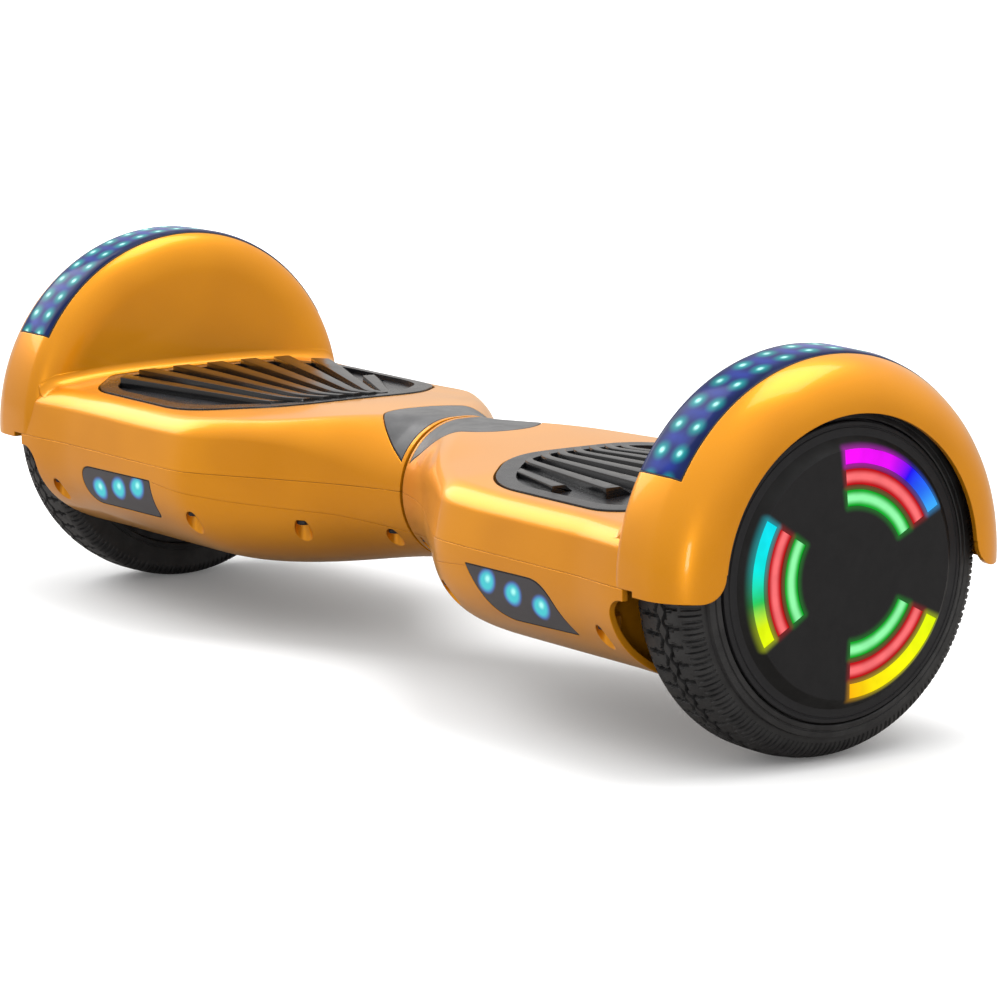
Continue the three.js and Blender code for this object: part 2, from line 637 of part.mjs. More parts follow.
// ---- Electronics ----------------------------------------------------------------------------------------
function sensorBoard() {
  const z = 88;
  const board = block(110, -55, z, 190, 55, z + 1.6);
  const sensors = [-1, 1].map((side) =>
    block(SENSOR_POST_X - 6, side * SENSOR_POST_Y - 5, z, SENSOR_POST_X + 6, side * SENSOR_POST_Y + 5, 99));
  return joined(board, block(120, -8, z, 136, 8, z + 4), ...sensors);
}

function batteryPack() {
  return block(98, -38, 38.5, 198, 38, 68.5);
}

function mainboard() {
  const z = 58;
  const board = block(90, -45, z, 194, 45, z + 1.6);
  const capacitors = [-26, 0, 26].map((y) => post(6.5, 102, y, z - 18, z + 1));
  const sockets = [-30, -8, 14].map((y) => block(178, y, z - 8, 190, y + 12, z + 1));
  return joined(board, ...capacitors, ...sockets);
}

function heatsink() {
  const base = block(120, -30, 60, 172, 30, 63);
  const fins = [-27, -18, -9, 0, 9, 18, 27].map((y) => block(120, y - 1, 62, 172, y + 1, 69));
  return joined(base, ...fins);
}

function motorCable() {
  return cable([[195.4, 0, AXLE_Z], [180, 4, AXLE_Z - 1], [150, 20, 80], [110, 14, 79.5], [92, 0, 81]], 3, 8);
}

// The ring that closes the gap between the halves: its spigot reaches into both, its flange fills the gap.
function jointRing() {
  const [bore, spigot, flange] = [24, 27.4, NECK_R - 2.2];
  const flangeHalf = MEETING_GAP - 0.4;
  const profile = [[bore, -8], [spigot, -8], [spigot, -flangeHalf], [flange, -flangeHalf],
    [flange, flangeHalf], [spigot, flangeHalf], [spigot, 8], [bore, 8]];
  return turned([...profile, profile[0]], PIVOT_Z, 24);
}

// ---- Rear sockets ---------------------------------------------------------------------------------------
const PORT_TILT_DEG = 40; // the lower shell's back faces down by this angle where the sockets sit
const PORT_X = 140;
const BUTTON_X = 180;
const PORT_Y = 84.4;
const PORT_Z = 55;
const SOCKET_R = 8.6;
const CAP_R = 9.8;

// Moves a solid drawn along +Z, with z = 0 on the outer surface, to the back of the lower shell.
function onBack(geometry, x) {
  return solid(geometry.rotateX(-Math.PI / 2 - radians(PORT_TILT_DEG)).translate(x, PORT_Y, PORT_Z));
}

function backCylinder(radius, depth, height, x, segments = 16) {
  const cylinder = new THREE.CylinderGeometry(radius, radius, depth + height, segments);
  return onBack(cylinder.rotateX(Math.PI / 2).translate(0, 0, (height - depth) / 2), x);
}

function chargePort() {
  return backCylinder(SOCKET_R, 16, 0.2, PORT_X).subtract(backCylinder(6.2, 10, 1, PORT_X));
}

function chargeCap() {
  const tab = new THREE.BoxGeometry(6, 7, 1.2).translate(0, 11.5, 1.3);
  return joined(backCylinder(CAP_R, -0.7, 2.3, PORT_X), onBack(tab, PORT_X));
}

function powerButton() {
  return backCylinder(6.4, 6, 1.8, BUTTON_X);
}

function buttonHousing() {
  return backCylinder(SOCKET_R, 14, 0.2, BUTTON_X).subtract(backCylinder(6.8, 8.6, 5, BUTTON_X));
}

function backHole(x) {
  return backCylinder(SOCKET_R + GAP, 20, 10, x);
}

// ---- Assembly -------------------------------------------------------------------------------------------
const PAINT = { color: 0xe2962a, roughness: 0.25, metalness: 0.55 };
const TRIM_GREY = { color: 0x4a4a4c, roughness: 0.6, metalness: 0 };
const RUBBER = { color: 0x1c1c1e, roughness: 0.7, metalness: 0 };
const PAD_RUBBER = { color: 0x2a2a2c, roughness: 0.35, metalness: 0 };
const BLACK_PLASTIC = { color: 0x2b2b2b, roughness: 0.5, metalness: 0 };
const LENS_BLUE = { color: 0x2a4fb8, roughness: 0.15, metalness: 0 };
const LENS_GREY = { color: 0x5c5f66, roughness: 0.2, metalness: 0 };
const LIGHT_GUIDE = { color: 0x62e070, roughness: 0.3, metalness: 0 };
const CAST_ALUMINIUM = { color: 0x9a9da1, roughness: 0.5, metalness: 0.9 };
const STEEL = { color: 0xb5b8bb, roughness: 0.35, metalness: 1 };
const COPPER = { color: 0xa55f2c, roughness: 0.4, metalness: 0.8 };
const CIRCUIT_GREEN = { color: 0x1d5b35, roughness: 0.55, metalness: 0 };
const BATTERY_BLUE = { color: 0x2d4d8c, roughness: 0.45, metalness: 0 };
const CABLE_BLACK = { color: 0x151515, roughness: 0.6, metalness: 0 };

function named(name, manifold, finish) {
  const mesh = new THREE.Mesh(geometryOf(manifold), new THREE.MeshStandardMaterial(finish));
  mesh.name = name;
  return mesh;
}

function buildHalf(prefix, frameBore, lowerShellSolid, headlight, shortRib) {
  const half = new THREE.Group();
  const add = (name, manifold, finish) => half.add(named(`${prefix}_${name}`, manifold, finish));
  add("upper_shell", upperShell(), PAINT);
  add("lower_shell", lowerShellSolid, PAINT);
  add("neck_trim", neckTrim(), TRIM_GREY);
  add("footpad", footpad(shortRib), PAD_RUBBER);
  add("strip_lens", stripLens(), LENS_BLUE);
  add("strip_board", stripBoard(), CIRCUIT_GREEN);
  add("headlight_lens", headlightLens(headlight), LENS_GREY);
  add("headlight_board", headlightBoard(), CIRCUIT_GREEN);
  add("sensor_board", sensorBoard(), CIRCUIT_GREEN);
  add("frame", frame(frameBore), CAST_ALUMINIUM);
  add("axle_clamp", axleClamp(), CAST_ALUMINIUM);
  add("clamp_screw_front", clampScrew(-17), STEEL);
  add("clamp_screw_back", clampScrew(17), STEEL);
  add("axle", axle(), STEEL);
  add("stator", stator(), COPPER);
  add("motor_cable", motorCable(), CABLE_BLACK);
  add("tyre", tyre(), RUBBER);
  add("wheel_rim", wheelRim(), CAST_ALUMINIUM);
  add("hub_cover", hubCover(), CAST_ALUMINIUM);
  add("magnet_ring", ring(59.2, 54.6, 256, 273, AXLE_Z, WHEEL_SEGMENTS), STEEL);
  add("inner_bearing", ring(17, AXLE_R + RUN, 246.8, 254.8, AXLE_Z, 16), STEEL);
  add("outer_bearing", ring(11, AXLE_R + RUN, 275.3, 281.5, AXLE_Z, 16), STEEL);
  add("wheel_cover", wheelCover(), BLACK_PLASTIC);
  add("wheel_lights", wheelLights(), LIGHT_GUIDE);
  return half;
}

const board = new THREE.Group();
board.name = "hoverboard";

const rightLowerShell = lowerShell(rightHeadlight).subtract(joined(backHole(PORT_X), backHole(BUTTON_X)));
const rightShortRib = padRib(-1, 110, 160);
const right = buildHalf("right", TUBE_R + 2.3, rightLowerShell, rightHeadlight, rightShortRib);
right.add(named("mainboard", mainboard(), CIRCUIT_GREEN));
right.add(named("heatsink", heatsink(), CAST_ALUMINIUM));
right.add(named("charge_port", chargePort(), BLACK_PLASTIC));
right.add(named("charge_cap", chargeCap(), RUBBER));
right.add(named("button_housing", buttonHousing(), BLACK_PLASTIC));
right.add(named("power_button", powerButton(), STEEL));
right.add(named("pivot_bushing", ring(TUBE_R + 2, TUBE_R + RUN, 15, 73, PIVOT_Z, 16), BLACK_PLASTIC));

const leftShortRib = padRib(7, 98, 158);
const left = buildHalf("left", TUBE_R + GAP, lowerShell(leftHeadlight), leftHeadlight, leftShortRib);
left.add(named("battery_pack", batteryPack(), BATTERY_BLUE));
left.scale.x = -1;

board.add(right, left);
board.add(named("pivot_tube", ring(TUBE_R, 9.5, -76, 80, PIVOT_Z, 16), STEEL));
board.add(named("retaining_ring", ring(15, TUBE_R + RUN, 74.8, 76.6, PIVOT_Z, 16), STEEL));
board.add(named("joint_ring", jointRing(), PAINT));
const crossCable = cable([-88, -30, 30, 84].map((x) => [x, 0, PIVOT_Z]), 4, 3);
board.add(named("cross_cable", crossCable, CABLE_BLACK));

export default board;
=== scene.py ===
"""Looks of the self balancing hoverboard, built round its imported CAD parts.

Lengths in this script are millimetres in the CAD model's frame: origin on the floor under the centre
pivot, +X along the wheel axle, the headlights towards -Y, +Z up. They become metres when a mesh is made.
"""

import json
import math

import bmesh
import bpy
from mathutils import Matrix, Vector


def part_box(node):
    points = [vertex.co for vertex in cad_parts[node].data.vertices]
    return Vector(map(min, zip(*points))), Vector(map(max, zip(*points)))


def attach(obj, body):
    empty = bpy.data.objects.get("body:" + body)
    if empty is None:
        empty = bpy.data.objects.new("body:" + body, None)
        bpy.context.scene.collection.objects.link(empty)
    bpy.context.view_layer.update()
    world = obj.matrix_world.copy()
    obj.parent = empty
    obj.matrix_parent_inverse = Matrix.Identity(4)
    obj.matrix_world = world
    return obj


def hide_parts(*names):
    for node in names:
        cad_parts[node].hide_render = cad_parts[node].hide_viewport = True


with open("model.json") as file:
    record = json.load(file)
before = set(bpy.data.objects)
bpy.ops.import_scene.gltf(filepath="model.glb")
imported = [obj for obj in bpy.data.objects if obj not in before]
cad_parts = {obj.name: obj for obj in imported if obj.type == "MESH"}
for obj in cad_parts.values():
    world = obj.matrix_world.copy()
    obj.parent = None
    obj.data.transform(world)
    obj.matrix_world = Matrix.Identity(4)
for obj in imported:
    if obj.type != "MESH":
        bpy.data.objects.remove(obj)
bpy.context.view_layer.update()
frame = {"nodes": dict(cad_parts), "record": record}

MM = 0.001


def limits(node):
    """Lowest and highest corner of a CAD node, in mm."""
    return [[value / MM for value in corner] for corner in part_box(node)]


# ---- Dimensions, read from the CAD frame ----
(TYRE_IN, _, _), (TYRE_OUT, TYRE_R, _) = limits("right_tyre")
(MEETING_GAP, _, _), (HALF_SPAN, _, _) = limits("right_upper_shell")
(_, _, BELLY_Z), (_, shell_side, shell_rim) = limits("right_lower_shell")
(STRIP_IN, _, _), (STRIP_OUT, _, strip_top) = limits("right_strip_lens")
(pad_in, _, _), (pad_out, pad_side, rib_top) = limits("right_footpad")
_, (DISC_X, _, _) = limits("right_wheel_cover")

GAP = 0.3  # clearance between neighbouring pieces
WALL = 2.6  # shell thickness
RIB_HEIGHT = 2.8
PAD_STEP = 0.6  # how far the pad's rim stands above the deck
AXLE_Z = TYRE_R
PARTING_Z = shell_rim + GAP / 2
DECK_Z = rib_top - RIB_HEIGHT - PAD_STEP
FLARE = 2.4  # how far the sides widen to meet the mudguard
BODY_HALF_WIDTH = shell_side - FLARE + 0.1  # the sides approach this width without reaching it
FENDER_SIDES = 32  # of the CAD mudguard, which has a flat at its top
FENDER_R = (strip_top - AXLE_Z) / math.cos(math.pi / FENDER_SIDES) - 0.2
PAD_OUT = pad_out + 0.5
PAD_IN = pad_in - 0.5
PAD_SIDE = pad_side + 0.5
PAD_FLOOR = DECK_Z - 4.8
PIVOT_Z = 82
NECK_R = 34
DECK_END = 240
WELL_WALL_X = 238.5  # the mudguard's inboard face at its foot
SHOULDER_R = 74  # the mudguard's radius there
CREST_X = STRIP_IN + 3  # where the mudguard reaches its full radius
WELL_R = 91.5  # inside of the mudguard over the tyre
RIM_R = 66.8
LIP_R = 70.5  # the mudguard's opening at the wheel's face
LIP_ROUNDING = 12
HEM_START = 259  # outboard of this the mudguard reaches down to HEM_Z
HEM_Z = 80.5
LENS_INNER_R = 93.2
SEAM = 0.16  # visible gap between the shells
FAR = 400  # past the end of the board in every direction


# ---- Meshes ----
def mesh_from(points, faces):
    """A mesh from points in mm, with its faces turned to point out."""
    mesh = bpy.data.meshes.new("mesh")
    mesh.from_pydata([[c * MM for c in point] for point in points], [], faces)
    work = bmesh.new()
    work.from_mesh(mesh)
    bmesh.ops.recalc_face_normals(work, faces=work.faces)
    work.to_mesh(mesh)
    work.free()
    return mesh


def loft(rows, closed=False):
    """Joins closed loops of equal length into a solid; a closed loft joins its last loop to its first."""
    count = len(rows[0])
    faces = []
    for r in range(len(rows) if closed else len(rows) - 1):
        here = r * count
        there = (r + 1) % len(rows) * count
        for k in range(count):
            after = (k + 1) % count
            faces.append((here + k, here + after, there + after, there + k))
    if not closed:
        faces.append(tuple(range(count)))
        faces.append(tuple(range((len(rows) - 1) * count, len(rows) * count)))
    return mesh_from([point for row in rows for point in row], faces)


def turns(count, shift=0):
    """Angles spaced evenly round a circle."""
    return [2 * math.pi * (k + shift) / count for k in range(count)]


def turned(profile, centre_z, segments=192, closed=False):
    """A solid of revolution about the line y = 0, z = centre_z, from points (radius, x)."""
    angles = turns(segments, 0.5)
    rows = [[(x, r * math.cos(a), centre_z + r * math.sin(a)) for a in angles] for r, x in profile]
    return loft(rows, closed)


def disc(radius, x0, x1):
    """A solid disc on the axle."""
    return turned([(radius, x0), (radius, x1)], AXLE_Z, 64)


def prism(outline, low, high, plane="xy"):
    """Extrudes an outline drawn in the xy, xz or yz plane along the third axis."""
    order = {"xy": (0, 1, 2), "xz": (0, 2, 1), "yz": (2, 0, 1)}[plane]
    return loft([[tuple((u, v, w)[k] for k in order) for u, v in outline] for w in (low, high)])


def block(x0, y0, z0, x1, y1, z1):
    return prism([(x0, y0), (x1, y0), (x1, y1), (x0, y1)], z0, z1)


def post(radius, x, y, z0, z1, segments=32):
    return prism([(x + radius * math.cos(a), y + radius * math.sin(a)) for a in turns(segments)], z0, z1)


def new_object(name, data):
    obj = bpy.data.objects.new(name, data)
    bpy.context.scene.collection.objects.link(obj)
    return obj


def combined(base, operation, *tools):
    """The mesh that joins, cuts or intersects base with each tool in turn."""
    objects = [new_object("work", mesh) for mesh in (base, *tools)]
    for tool in objects[1:]:
        modifier = objects[0].modifiers.new("boolean", "BOOLEAN")
        modifier.operation = operation
        modifier.solver = "MANIFOLD"
        modifier.object = tool
    graph = bpy.context.evaluated_depsgraph_get()
    result = bpy.data.meshes.new_from_object(objects[0].evaluated_get(graph))
    for obj in objects:
        bpy.data.objects.remove(obj)
    return result


def cut(base, *tools):
    return combined(base, "DIFFERENCE", *tools)


def joined(base, *tools):
    return combined(base, "UNION", *tools)


def common(base, *tools):
    return combined(base, "INTERSECT", *tools)


def bevelled(mesh, width, segments=2, angle=35):
    """Rounds the edges where the faces turn by more than the angle."""
    work = bmesh.new()
    work.from_mesh(mesh)
    sharp = [e for e in work.edges if e.is_manifold and e.calc_face_angle() > math.radians(angle)]
    bmesh.ops.bevel(work, geom=sharp, offset=width * MM, segments=segments, affect="EDGES", profile=0.5,
                    clamp_overlap=True)
    work.to_mesh(mesh)
    work.free()
    return mesh


def together(meshes):
    """One mesh that holds several separate closed bodies."""
    work = bmesh.new()
    for mesh in meshes:
        work.from_mesh(mesh)
    result = bpy.data.meshes.new("mesh")
    work.to_mesh(result)
    work.free()
    return result


def mirrored(mesh):
    copy = mesh.copy()
    copy.transform(Matrix.Scale(-1, 4, (1, 0, 0)))
    copy.flip_normals()
    return copy


def piece(name, mesh, material, body, slot, *nodes, sharp=32):
    """Puts a mesh in the scene as a piece that rides on a body and stands for the given CAD nodes."""
    mesh.name = name
    mesh.shade_smooth()
    mesh.set_sharp_from_angle(angle=math.radians(sharp))
    mesh.materials.clear()
    mesh.materials.append(material)
    obj = new_object(name, mesh)
    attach(obj, body)
    if nodes:
        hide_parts(*nodes)
    return obj


def one_side(side, name, mesh, material, body, slot, *nodes, sharp=32):
    """Makes a piece of one side from the mesh for the right; names get the side in front."""
    stood_for = [f"{side}_{node}" for node in nodes]
    mesh = mirrored(mesh) if side == "left" else mesh
    piece(f"{side}_{name}_skin", mesh, material, f"{side}_{body}", slot, *stood_for, sharp=sharp)


def both_sides(*details, **options):
    for side in ("left", "right"):
        one_side(side, *details, **options)


def smoothstep(start, end, value):
    t = min(1.0, max(0.0, (value - start) / (end - start)))
    return t * t * (3 - 2 * t)


def soft_max(a, b, softness):
    return 0.5 * (a + b + math.hypot(a - b, softness))


def soft_min(a, b, softness):
    return 0.5 * (a + b - math.hypot(a - b, softness))


def steps(start, end, count):
    return [start + (end - start) * i / (count - 1) for i in range(count)]


QUARTER = steps(0, math.pi / 2, 13)  # the angles of a rounded corner


def rounded_outline(corners, resolution=10):
    """A closed outline through corners (x, y, cut), each rounded from cut before it to cut after it."""
    outline = []
    for i, (x, y, reach) in enumerate(corners):
        corner = Vector((x, y))
        sides = [Vector(corners[(i + way) % len(corners)][:2]) - corner for way in (-1, 1)]
        reach = min(reach, 0.48 * sides[0].length, 0.48 * sides[1].length)
        before, after = (corner + side.normalized() * reach for side in sides)
        for t in steps(0, 1, resolution):
            outline.append(tuple(before * (1 - t) ** 2 + corner * 2 * t * (1 - t) + after * t * t))
    return outline


def sector(inner, outer, start_deg, end_deg, x0, x1, resolution=48):
    """Part of a ring about the axle; angles from +Y towards +Z."""
    angles = [math.radians(a) for a in steps(start_deg, end_deg, resolution)]
    outline = [(outer * math.cos(a), AXLE_Z + outer * math.sin(a)) for a in angles]
    outline += [(inner * math.cos(a), AXLE_Z + inner * math.sin(a)) for a in reversed(angles)]
    return prism(outline, x0, x1, "yz")


# ---- Body surface ----
EDGE_R = 10
CROWN = 5
SIDE_LEAN = 5
FLARE_START = 210
FULL_WIDTH_AT = 108
NECK_SLOPE, TAPER_SLOPE = 0.25, 0.66  # how fast the sides widen, next to the neck and further out
DECK_SLOPE = (0, 150)  # distances from the centre plane between which each part of the section changes
BELLY_DROP = (-15, 125)
EDGE_CHANGE = (2, 90)
LEAN_GROWTH = (30, 110)
CROWN_GROWTH = (10, 80)
BELLY_SQUARING = (10, 100)
HIDDEN = (6, 96)  # spacing and points round the section, for surfaces that stay out of sight
INNER_END = -2  # a cavity starts here, so that it is open at the inner end of the half
CAVITY_END = 226


def half_width(u):
    neck = NECK_R - 0.5 + NECK_SLOPE * u
    taper = BODY_HALF_WIDTH - TAPER_SLOPE * (FULL_WIDTH_AT - u)
    flare = FLARE * smoothstep(FLARE_START, STRIP_IN, u)
    return soft_min(soft_max(neck, taper, 10), BODY_HALF_WIDTH, 5) + flare


def deck_height(u):
    neck_top = PIVOT_Z + NECK_R
    return neck_top + (DECK_Z - neck_top) * smoothstep(*DECK_SLOPE, u) - PARTING_Z


def belly_depth(u):
    neck_bottom = PIVOT_Z - NECK_R
    return PARTING_Z - neck_bottom + (neck_bottom - BELLY_Z) * smoothstep(*BELLY_DROP, u)


def edge_radius(u):
    return EDGE_R + (NECK_R - EDGE_R) * (1 - smoothstep(*EDGE_CHANGE, u)) ** 1.4


def upper_quarter(u, s, inset):
    """Section above the parting plane, for s from 0 at the side to 1 at the middle of the deck."""
    width = half_width(u) - inset
    height = deck_height(u) - inset
    radius = max(1, min(edge_radius(u), height + inset, width + inset) - inset)
    side_end, arc_end = 1 / 6, 4 / 6
    if s <= side_end:
        y, z = width, (height - radius) * s / side_end
    elif s <= arc_end:
        angle = (s - side_end) / (arc_end - side_end) * math.pi / 2
        y = width - radius + radius * math.cos(angle)
        z = height - radius + radius * math.sin(angle)
    else:
        y, z = (width - radius) * (1 - (s - arc_end) / (1 - arc_end)), height
    rise = z / height
    lean = SIDE_LEAN * smoothstep(*LEAN_GROWTH, u) * rise * min(1, y / (width - radius))
    fall = CROWN * smoothstep(*CROWN_GROWTH, u) * (y / width) ** 3 * rise
    return max(0, y - lean), z - fall


def belly_power(u):
    """Exponent of the section below the parting plane: 2 is an ellipse, and more is squarer."""
    return 2 + 0.4 * smoothstep(*BELLY_SQUARING, u)


def lower_quarter(u, s, inset):
    """Section below the parting plane, for s from 0 at the side to 1 at the middle of the belly."""
    power = 2 / belly_power(u)
    angle = s * math.pi / 2
    y = (half_width(u) - inset) * max(0, math.cos(angle)) ** power
    z = (belly_depth(u) - inset) * math.sin(angle) ** power
    return (0 if s == 1 else y), -z


def section(u, inset, around):
    """The whole cross-section at distance u from the centre plane, as a closed loop."""
    quarter = around // 4
    front = [upper_quarter(u, 1 - k / quarter, inset) for k in range(quarter)]
    front += [lower_quarter(u, k / quarter, inset) for k in range(quarter)]
    middle = [lower_quarter(u, 1, inset)]
    top = front[0]
    back = [(-y, z) for y, z in reversed(front[1:])]
    return [(u, y, PARTING_Z + z) for y, z in [top, *front[1:], *middle, *back]]


def body_solid(start, end, inset, spacing=2.0, around=240):
    """Solid inside the body surface between two distances from the centre, moved in by inset."""
    count = max(2, round((end - start) / spacing) + 1)
    return loft([section(u, inset, around) for u in steps(start, end, count)])


# ---- Outlines ----
TRIM_LENGTH = 41.5
TRIM_HALF_WIDTH = 33
TRIM_POWER = 2 / 2.3


def trim_outline(grow):
    start = MEETING_GAP + 2.2 - grow
    outline = []
    for angle in steps(-math.pi / 2, math.pi / 2, 61):
        x = (TRIM_LENGTH + grow) * max(0, math.cos(angle)) ** TRIM_POWER
        y = (TRIM_HALF_WIDTH + grow) * abs(math.sin(angle)) ** TRIM_POWER
        outline.append((max(x, start), math.copysign(y, angle)))
    return outline


def pad_outline(inset):
    out_x, in_x, side_y = PAD_OUT - inset, PAD_IN + inset, PAD_SIDE - inset
    chamfer, taper = 23, 37
    front = [(out_x, -side_y + chamfer, 4), (out_x - chamfer, -side_y, 12), (in_x + taper, -side_y, 20),
             (in_x, -side_y + taper, 20)]
    back = [(x, -y, cut_back) for x, y, cut_back in reversed(front)]
    return rounded_outline(front + back)


def left_headlight(inset):
    """A bar with a rounded outboard end."""
    inner, outer = 134.8 + inset, 199.5 - inset
    return rounded_outline([(inner, 74.5 - inset, 1), (outer, 73.5 - inset, 12), (outer, 55 + inset, 12),
                            (inner, 55.8 + inset, 4)])


def right_headlight(inset):
    """A leaf with a sharp inboard top corner."""
    return rounded_outline([(132.5 + inset, 75.3 - inset, 1), (190 - inset, 76 - inset, 11),
                            (205.5 - inset, 54 + inset, 2), (147 + inset, 52 + inset, 12)])


# ---- Node materials ----
class Nodes:
    """Short ways to add nodes to a tree. Values are numbers, colours or sockets."""

    def __init__(self, tree):
        self.tree = tree

    def feed(self, value, socket):
        if isinstance(value, bpy.types.NodeSocket):
            self.tree.links.new(value, socket)
        elif isinstance(value, tuple) and len(value) == 3 and socket.type == "RGBA":
            socket.default_value = (*value, 1)
        else:
            socket.default_value = value

    def add(self, kind, inputs=None, **settings):
        node = self.tree.nodes.new("ShaderNode" + kind)
        for key, value in settings.items():
            setattr(node, key, value)
        for key, value in (inputs or {}).items():
            self.feed(value, node.inputs[key])
        return node

    def ramp(self, value, colours):
        """Colours at their places along a value from 0 to 1."""
        node = self.add("ValToRGB", {"Fac": value})
        stops = node.color_ramp.elements
        while len(stops) < len(colours):
            stops.new(1.0)
        for stop, (place, colour) in zip(stops, colours):
            stop.position = place
            stop.color = (*colour, 1)
        return node.outputs["Color"]


class Finish(Nodes):
    """A Principled material."""

    def __init__(self, name):
        self.material = bpy.data.materials.new(name)
        self.material.use_nodes = True
        super().__init__(self.material.node_tree)
        self.shader = self.tree.nodes["Principled BSDF"]
        self.position = self.add("TexCoord").outputs["Object"]

    def set(self, **values):
        for key, value in values.items():
            self.feed(value, self.shader.inputs[key.replace("_", " ")])
        return self

    def math(self, operation, a, b=0.0):
        return self.add("Math", {0: a, 1: b}, operation=operation).outputs[0]

    def minus(self, a, b):
        return self.math("SUBTRACT", a, b)

    def times(self, a, b):
        return self.math("MULTIPLY", a, b)

    def gap(self, a, b):
        return self.math("ABSOLUTE", self.minus(a, b))

    def hypot(self, a, b):
        return self.math("SQRT", self.math("ADD", self.times(a, a), self.times(b, b)))

    def mix(self, factor, a, b):
        node = self.add("Mix", {"Factor": factor}, data_type="RGBA")
        self.feed(a, node.inputs[6])
        self.feed(b, node.inputs[7])
        return node.outputs[2]

    def remap(self, value, low, high, to_low=0.0, to_high=1.0):
        """Moves smoothly from to_low to to_high while the value goes from low to high."""
        inputs = {"Value": value, "From Min": low, "From Max": high, "To Min": to_low, "To Max": to_high}
        return self.add("MapRange", inputs, interpolation_type="SMOOTHSTEP").outputs["Result"]

    def noise(self, scale, detail=2.0):
        inputs = {"Vector": self.position, "Scale": scale, "Detail": detail}
        return self.add("TexNoise", inputs).outputs["Fac"]

    def bump(self, height, strength, distance_mm, edge_mm=0.0):
        """Bumps the surface, on top of rounded edges if edge_mm is given."""
        inputs = {"Height": height, "Strength": strength, "Distance": distance_mm * MM}
        if edge_mm:
            edge = self.add("Bevel", {"Radius": edge_mm * MM}, samples=6)
            inputs["Normal"] = edge.outputs[0]
        return self.set(Normal=self.add("Bump", inputs).outputs[0])

    def neutral_bounce(self, grey=(0.35, 0.33, 0.31)):
        """Makes the surface look grey to diffuse rays, so that it does not tint the floor."""
        rays = self.add("LightPath").outputs["Is Diffuse Ray"]
        dull = self.add("BsdfDiffuse", {"Color": grey}).outputs[0]
        mixer = self.add("MixShader", {0: rays, 1: self.shader.outputs[0], 2: dull}).outputs[0]
        self.feed(mixer, self.tree.nodes["Material Output"].inputs["Surface"])
        return self.material

    def axes(self):
        """Position in mm as |x|, y and z."""
        split = self.add("SeparateXYZ", {0: self.position})
        x, y, z = (self.times(socket, 1 / MM) for socket in split.outputs)
        return self.math("ABSOLUTE", x), y, z

    def polar(self):
        """Radius about the axle in mm, and angle in degrees from +Y towards +Z, 0 to 360."""
        _, y, z = self.axes()
        up = self.minus(z, AXLE_Z)
        angle = self.math("DEGREES", self.math("ARCTAN2", up, y))
        return self.hypot(y, up), self.math("FLOORED_MODULO", angle, 360)

    def speckled(self, dark, light, scale, roughness, grain=0.15, grain_mm=0.05, **values):
        """A plain surface with mottled colour, uneven shine and fine grain."""
        mottle = self.remap(self.noise(scale, 4), 0.35, 0.65)
        shine = self.remap(self.noise(scale * 2.5, 3), 0.3, 0.7, roughness * 0.88, roughness * 1.12)
        self.set(Base_Color=self.mix(mottle, dark, light), Roughness=shine, **values)
        return self.bump(self.noise(scale * 9, 3), grain, grain_mm).material


def pearl_paint(name, deep, bright, pale):
    """Clear-coated pearl paint: cloudy, with fine flakes, and paler where it is seen at a low angle, a
    painted sheen.
    """
    finish = Finish(name)
    facing = finish.add("LayerWeight", {"Blend": 0.5}).outputs["Facing"]
    cloud = finish.remap(finish.noise(14, 2), 0.35, 0.65)
    flakes = finish.add("TexVoronoi", {"Vector": finish.position, "Scale": 2600.0})
    body = finish.mix(cloud, deep, bright)
    body = finish.mix(finish.remap(flakes.outputs["Distance"], 0.1, 0.6, 0.0, 0.05), body, pale)
    # painted sheen: the colour turns pale where the surface is seen at a low angle
    body = finish.mix(finish.remap(facing, 0.6, 1.0, 0.0, 0.5), body, pale)
    finish.set(Base_Color=body, Metallic=0.55, Roughness=finish.remap(cloud, 0, 1, 0.34, 0.38))
    finish.set(Coat_Weight=0.5, Coat_Roughness=0.08, Coat_IOR=1.4, IOR=1.5, Specular_IOR_Level=0.15)
    finish.bump(finish.noise(420, 2), 0.03, 0.05, edge_mm=0.7)
    return finish.neutral_bounce()


def trim_plastic():
    return Finish("trim_grey").speckled((0.065, 0.065, 0.067), (0.095, 0.095, 0.097),
                                        60, 0.34, grain=0.3, grain_mm=0.06)


def pad_rubber():
    return Finish("pad_black").speckled((0.005, 0.005, 0.006), (0.010, 0.010, 0.011), 40, 0.22, grain=0.05)


def pad_rim_plastic():
    return Finish("pad_rim_grey").speckled((0.012, 0.012, 0.014), (0.020, 0.020, 0.023), 50, 0.28, grain=0.1)


def tyre_rubber():
    return Finish("tyre_black").speckled((0.012, 0.012, 0.013), (0.022, 0.022, 0.023),
                                         90, 0.55, grain=0.35, grain_mm=0.12)


def plain_black(name="cap_black_and_gap_shade"):
    return Finish(name).speckled((0.004, 0.004, 0.004), (0.008, 0.008, 0.008), 50, 0.6)


def machined(name, dark, light, roughness, metallic=1.0):
    """Metal, or a hard surface if metallic is 0, with a fine cast texture."""
    return Finish(name).speckled(dark, light, 120, roughness, grain=0.2, Metallic=metallic)


LAMP_COLUMNS = (255.0, 267.0)  # how far out the strip's two lines of lamps are
LAMP_FIRST_DEG, LAMP_LAST_DEG = 36.5, 143.5
RIGHT_LAMP_PAIRS = 14
LEFT_LAMP_PAIRS = 17  # the left strip has its lamps closer together


def glow(finish, distance, radius):
    """1 at a lamp's middle, falling to 0 at its radius in mm."""
    return finish.remap(distance, 0, radius, 1, 0)


